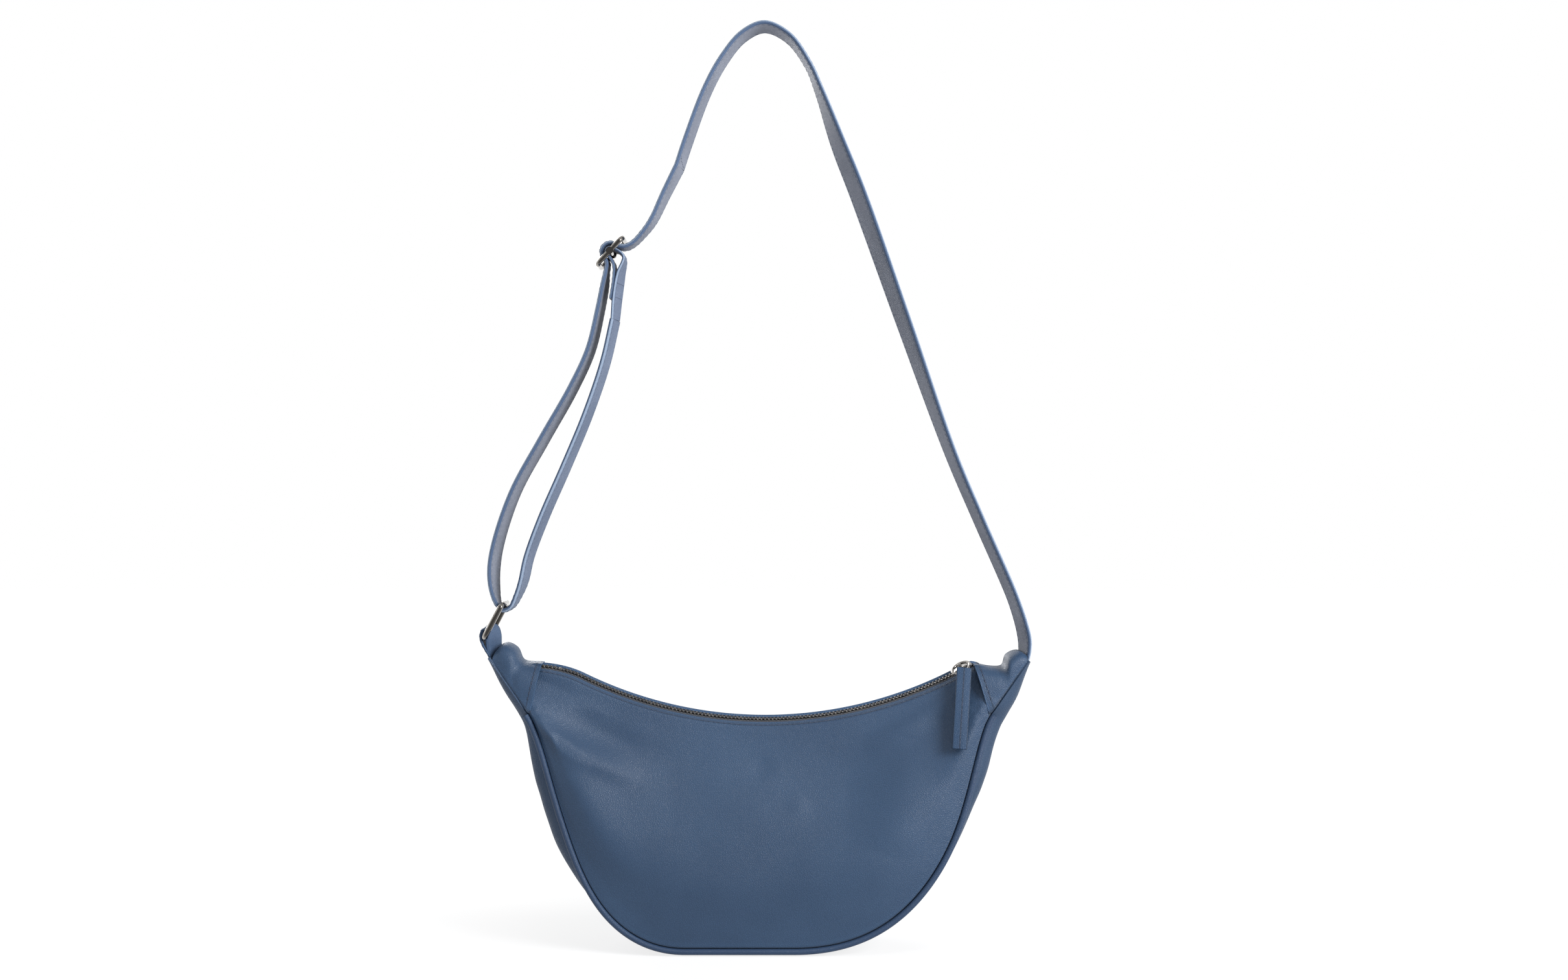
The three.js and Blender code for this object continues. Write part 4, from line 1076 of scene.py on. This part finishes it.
def cloth_finish(name, dark, light, threads):
    """Plain weave on Object coordinates."""
    material, tree, shader = new_finish(name)
    thread = {"Vector": object_place(tree), "Scale": threads, "Distortion": 0.4}
    waves = (put_node(tree, "ShaderNodeTexWave", thread, bands_direction=way).outputs["Fac"] for way in "XZ")
    weave = math_node(tree, "MULTIPLY", *waves)
    faded = math_node(tree, "MULTIPLY", use_group(tree, clouds, Patches=60.0)["Tone"], 0.3)
    feed(tree, shader, {
        "Base Color": tint(tree, faded, tint(tree, weave, dark, light), dark),
        "Roughness": spread(tree, weave, 0.0, 1.0, 0.95, 0.75),
        "Sheen Weight": 0.2,
    })
    emboss(tree, shader, weave, 0.4, 0.0002)
    return material


def metal_finish(name, dark, light, roughness, painted_dark_reflection=None):
    """Metal with faint scratches and dulled patches, and with a painted dark reflection where it faces the
    eye if one is given.
    """
    material, tree, shader = new_finish(name)
    stretch = put_node(tree, "ShaderNodeMapping", {"Vector": object_place(tree), "Scale": (1, 0.12, 1)})
    scratch = put_node(tree, "ShaderNodeTexNoise", {"Vector": stretch.outputs[0], "Scale": 500})
    scratch = scratch.outputs["Fac"]
    colour = tint(tree, use_group(tree, clouds, Patches=180.0)["Tone"], dark, light)
    # Painted reflection: dark where the surface faces the eye, paler towards its outline.
    if painted_dark_reflection:
        facing = put_node(tree, "ShaderNodeLayerWeight").outputs["Facing"]
        colour = tint(tree, spread(tree, facing, 0.03, 0.5), painted_dark_reflection, colour)
    rough = math_node(tree, "MULTIPLY_ADD", scratch, 0.04, roughness)
    feed(tree, shader, {"Base Color": colour, "Roughness": rough, "Metallic": 1.0})
    emboss(tree, shader, scratch, 0.02, 0.0001)
    return material


def thread_finish(name, dark, light):
    """Twisted thread."""
    material, tree, shader = new_finish(name)
    ply = {"Vector": object_place(tree), "Scale": 900, "Distortion": 1.0}
    twist = put_node(tree, "ShaderNodeTexWave", ply, bands_direction="DIAGONAL").outputs["Fac"]
    feed(tree, shader, {"Base Color": tint(tree, twist, dark, light), "Roughness": 0.7})
    emboss(tree, shader, twist, 0.4, 0.0001)
    return material


def srgb(r, g, b):
    return tuple(((c / 255 + 0.055) / 1.055) ** 2.4 for c in (r, g, b))


panel_leather = leather_finish("Blue panel leather", srgb(36, 59, 86), srgb(46, 70, 98), sewn=True)
pull_leather = leather_finish("Blue pull leather", srgb(26, 52, 80), srgb(34, 61, 90), roughness=0.48,
                              sewn=True)
gusset_leather = leather_finish("Blue gusset leather", srgb(35, 56, 81), srgb(45, 67, 94), roughness=0.42)
piping_leather = leather_finish("Blue piping leather", srgb(31, 52, 80), srgb(40, 63, 92), grain=1300.0)
# The last colour of each strap finish is the painted highlight on its rolled edges.
strap_leather = strap_finish("Blue strap leather", srgb(86, 99, 122), srgb(106, 118, 140),
                             srgb(107, 112, 125), srgb(131, 136, 149), srgb(70, 90, 120), srgb(134, 150, 172))
tab_leather = strap_finish("Blue tab leather", srgb(58, 78, 106), srgb(76, 96, 124),
                           srgb(58, 78, 106), srgb(76, 96, 124), srgb(48, 70, 98), srgb(56, 80, 110))
lining_cloth = cloth_finish("Lining cloth", srgb(36, 42, 52), srgb(58, 66, 80), 700)
tape_cloth = cloth_finish("Zip tape weave", srgb(22, 30, 44), srgb(38, 50, 70), 900)
dark_brass = metal_finish("Darkened brass", srgb(36, 36, 38), srgb(104, 100, 96), 0.24)
# The last colour of these two is a painted dark reflection where the metal faces the eye.
gunmetal = metal_finish("Polished gunmetal", srgb(148, 144, 139), srgb(178, 174, 168), 0.03,
                        srgb(60, 58, 56))
bright_metal = metal_finish("Bright gunmetal", srgb(146, 143, 139), srgb(184, 180, 175), 0.08,
                            srgb(80, 78, 77))
dark_thread = thread_finish("Dark blue thread", srgb(20, 30, 46), srgb(52, 66, 92))
strap_thread = thread_finish("Strap thread", srgb(60, 72, 92), srgb(84, 96, 116))


def dress(obj, material):
    obj.data.materials.clear()
    obj.data.materials.append(material)
    return obj


def place_piece(obj, material, slot, body, *nodes):
    dress(obj, material)
    if nodes:
        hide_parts(*nodes)
    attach(obj, body)
    return obj


def place_strap(name, frames, nodes, material=strap_leather, slot="strap_leather", **stretch):
    """Joins a stretch of strap with its thread, each keeping its own finish."""
    leather, threads = make_strap(name, frames, **stretch)
    dress(leather, material)
    for row in threads:
        dress(row, strap_thread)
    piece = join_up([leather, *threads], name)
    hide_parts(*nodes)
    return piece


# The bag body
for word, side in SIDES:
    panel = make_panel(side, f"{word}_leather_panel")
    place_piece(panel, panel_leather, "body_leather", "bag", f"{word}_panel")
place_piece(make_gusset(), gusset_leather, "body_leather", "bag", "gusset")
for word, hand in HANDS:
    cap = make_cap(hand, f"{word}_leather_cap")
    place_piece(cap, panel_leather, "body_leather", "bag", f"{word}_end_cap")
for word, side in SIDES:
    piping = make_piping(side, f"{word}_cord_piping")
    place_piece(piping, piping_leather, "piping_leather", "bag", f"{word}_piping")


def lining_panel(side):
    def place(u, v):
        down = 0.16 + 0.81 * v
        points = panel_points(side, 0.04 + 0.92 * u, down)
        points[:, 1] += side * (panel_relief(side, points, down) - LEATHER - LINING_INSET)
        return points
    return place


for word, side in SIDES:
    cloth = make_lining(f"{word}_lining_cloth", lining_panel(side), lambda c, side=side: (0, side, 0))
    place_piece(cloth, lining_cloth, "lining_cloth", "bag", f"lining_{word}")
cloth = make_lining("gusset_lining_cloth",
                    lambda u, q: gusset_points(0.1 + 0.8 * u, 0.06 + 0.88 * q, GUSSET_LINING_INSET),
                    lambda c: (c[0], 0, c[2] + BAG_HEART))
place_piece(cloth, lining_cloth, "lining_cloth", "bag", "lining_gusset")

# Seams sewn along the hems and the end caps
hem_share = np.linspace(0.012, 0.988, 200)
near_edge = CAP_ROW / CAP_RUN
for word, side in SIDES:
    line = panel_points(side, hem_share, np.full_like(hem_share, HEM_ROW))
    fall = FRONT_FALL if side < 0 else BACK_FALL
    normals = rows_of((0, -math.sin(fall), math.cos(fall)), len(line))
    row = sew_line(f"{word}_hem_thread", line, normals, **HEM_STITCH)
    place_piece(row, dark_thread, "body_leather", "bag")
for word, hand in HANDS:
    for q_low, q_high, face in ((0.03, 0.36, "front"), (0.64, 0.97, "back")):
        q = np.linspace(q_low, q_high, 40)
        line = cap_skin(hand, np.full(40, near_edge), q)
        before, after = (cap_skin(hand, np.full(40, near_edge + step), q) for step in (-0.04, 0.04))
        normals = np.cross(after - before, np.gradient(line, axis=0)) * hand
        row = sew_line(f"{word}_cap_{face}_thread", line, normals, **CAP_STITCH)
        place_piece(row, dark_thread, "body_leather", "bag")

# The zip and its pull
for word, side in SIDES:
    place_piece(make_tape(side, f"{word}_zip_tape"), tape_cloth, "zip_tape", "bag", f"zip_tape_{word}")
    place_piece(make_teeth(side, f"{word}_zip_teeth"), dark_brass, "zip_metal", "bag", f"zip_teeth_{word}")
    stop = make_stop(f"{word}_top_stop", side, TOP_STOP_ANGLE)
    place_piece(stop, dark_brass, "zip_metal", "bag", f"zip_top_stop_{word}")
place_piece(make_stop("end_stop", 0, STOP_ANGLE), dark_brass, "zip_metal", "bag", "zip_bottom_stop")
place_piece(make_slider(), bright_metal, "gunmetal", "zip_slider", "slider_body")
place_piece(make_pull_ring(), bright_metal, "gunmetal", "pull_ring", "pull_ring")
tab, tab_thread = make_pull_tab()
place_piece(tab, pull_leather, "body_leather", "pull_tab", "pull_tab")
place_piece(tab_thread, dark_thread, "body_leather", "pull_tab")

# The ring, the buckle and the strap
place_piece(make_square_ring(), gunmetal, "gunmetal", "ring", "square_ring")
place_piece(make_buckle(), gunmetal, "gunmetal", "buckle", "slide_buckle")
ring_tab = place_strap("ring_tab_leather", tab_frames, ["ring_tab"], tab_leather, "body_leather",
                       thickness=RING_TAB_THICKNESS, seam=TAB_SEAM)
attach(ring_tab, "bag")

shoulder = place_strap("shoulder_strap", shoulder_frames, ["strap_long", "strap_root"])
tuple(in_row([150, 0, 262]))
tuple(in_row([150, 0, 200]))
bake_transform(shoulder)
# Stretches of the loop: first and last stop, and the bodies that they ride on there
stretches = [
    ("strap_to_buckle", 0, 5, "strap", "buckle"),
    ("strap_over_bar", 5, 16, "buckle", None),
    ("outer_run_top", 16, 20, "buckle", "strap"),
    ("outer_run_middle", 20, 23, "strap", "bag"),
    ("outer_run_foot", 23, 25, "bag", "ring"),
    ("strap_round_ring", 25, 29, "ring", None),
    ("inner_run_foot", 29, 31, "ring", "bag"),
    ("inner_run_middle", 31, 33, "bag", "strap"),
    ("inner_run_top", 33, 36, "strap", "buckle"),
]
for name, first, last, start_body, end_body in stretches:
    piece = place_strap(name, loop_frames, ["strap_short"], first=first * PER_STOP, last=last * PER_STOP)
    if end_body is None:
        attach(piece, start_body)
    else:
        stop_point(loop_frames, first)
        stop_point(loop_frames, last)
        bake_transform(piece)
sewn_end = place_strap("strap_sewn_end", end_frames, ["strap_end"], thickness=STRAP_END_THICKNESS)
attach(sewn_end, "buckle")


def sew_across(name, frames, first, last, thickness, body):
    """Rows of stitches across both faces of a strap, from one edge at first to the other at last."""
    steps = np.rint(np.linspace(first, last, 20)).astype(int)
    centres, flat, thick = (table[steps] for table in frames)
    reach = np.linspace(-STRAP_SEAM, STRAP_SEAM, 20)[:, None] * STRAP_WIDTH / 2
    for word, face in (("outer", -1), ("inner", 1)):
        line = centres + flat * reach + thick * face * thickness / 2
        row = sew_line(f"{name}_{word}_thread", line, thick * face, **CROSS_STITCH)
        place_piece(row, dark_thread, "strap_leather", body)


sew_across("upper_cross", end_frames, 16, 16, STRAP_END_THICKNESS, "buckle")
sew_across("lower_cross", end_frames, 10, 10, STRAP_END_THICKNESS, "buckle")
strap_last = len(shoulder_frames[0]) - 1
sew_across("splice", shoulder_frames, strap_last - 3, strap_last, STRAP_THICKNESS, "strap")

# Floor, light and camera


def background_rays(tree):
    """1 for rays that should meet the plain white background: from the camera, off metal or through glass."""
    path = put_node(tree, "ShaderNodeLightPath")
    seen = math_node(tree, "MAXIMUM", path.outputs["Is Camera Ray"], path.outputs["Is Glossy Ray"])
    return math_node(tree, "MAXIMUM", seen, path.outputs["Is Transmission Ray"])


def mix_shaders(tree, share, first, second, output):
    mix = put_node(tree, "ShaderNodeMixShader", {0: share, 1: first.outputs[0], 2: second.outputs[0]})
    feed(tree, tree.nodes[output], {"Surface": mix.outputs[0]})


def make_stage():
    deselect_all()
    bpy.ops.mesh.primitive_plane_add(size=8, location=(0, 1.0, float(in_row([0, 0, -0.6])[2])))
    floor = bpy.context.object
    floor.name = "pale_floor"
    material, tree, shader = new_finish("Pale floor")
    feed(tree, shader, {"Base Color": (0.85, 0.85, 0.86, 1), "Roughness": 0.9})
    from_bag = put_node(tree, "ShaderNodeVectorMath", {0: object_place(tree), 1: (-0.02, -1.0, 0)},
                        operation="DISTANCE")
    share = spread(tree, from_bag.outputs["Value"], 0.1, 0.34, 0.74, 0.97)
    share_seen = math_node(tree, "MULTIPLY", background_rays(tree), share)
    glow = put_node(tree, "ShaderNodeEmission", {"Strength": 1.08})
    mix_shaders(tree, share_seen, shader, glow, "Material Output")
    floor.data.materials.append(material)


def make_light(name, place, aim, size, power):
    light = bpy.data.lights.new(name, "AREA")
    light.shape = "RECTANGLE"
    light.size, light.size_y = size
    light.energy = power
    obj = bpy.data.objects.new(name, light)
    obj.location = place
    obj.rotation_euler = (Vector(aim) - Vector(place)).to_track_quat("-Z", "Y").to_euler()
    bpy.context.scene.collection.objects.link(obj)


def make_world():
    world = bpy.data.worlds.new("Studio")
    world.use_nodes = True
    tree = world.node_tree
    soft = tree.nodes["Background"]
    feed(tree, soft, {"Color": (0.95, 0.97, 1.0, 1), "Strength": 0.2})
    white = put_node(tree, "ShaderNodeBackground", {"Color": (1, 1, 1, 1)})
    mix_shaders(tree, background_rays(tree), soft, white, "World Output")
    bpy.context.scene.world = world


make_stage()
make_world()
bag_middle = (0, 0, -0.38)
make_light("key_softbox", (1.2, -1.0, 0.25), bag_middle, (0.8, 0.9), 40)
make_light("fill_softbox", (-1.9, -0.45, 0.2), bag_middle, (0.7, 1.2), 3)
make_light("top_softbox", (0.15, -0.7, 0.75), (0, 0, -0.5), (0.6, 0.3), 2.5)
make_light("streak_softbox", (-1.15, -1.1, 0.45), (-0.13, 0, -0.27), (0.2, 0.9), 2.5)
make_light("back_softbox", (-0.7, 1.5, 0.2), bag_middle, (0.9, 1.1), 14)

# The photo's width and focal length in pixels, and where its camera stood
PHOTO_WIDTH, PHOTO_FOCAL, CAMERA_AT = 2420, 3333, (15.5, -1400, 294)
camera = bpy.data.cameras.new("Photo view")
camera.sensor_width = 36
camera.lens = camera.sensor_width * PHOTO_FOCAL / PHOTO_WIDTH
camera.clip_start, camera.clip_end = 0.05, 50
view = bpy.data.objects.new("Photo view", camera)
view.location = in_row(CAMERA_AT)
view.rotation_euler = (math.radians(90), 0, 0)
bpy.context.scene.collection.objects.link(view)
bpy.context.scene.camera = view
bpy.context.scene.view_settings.view_transform = "Standard"
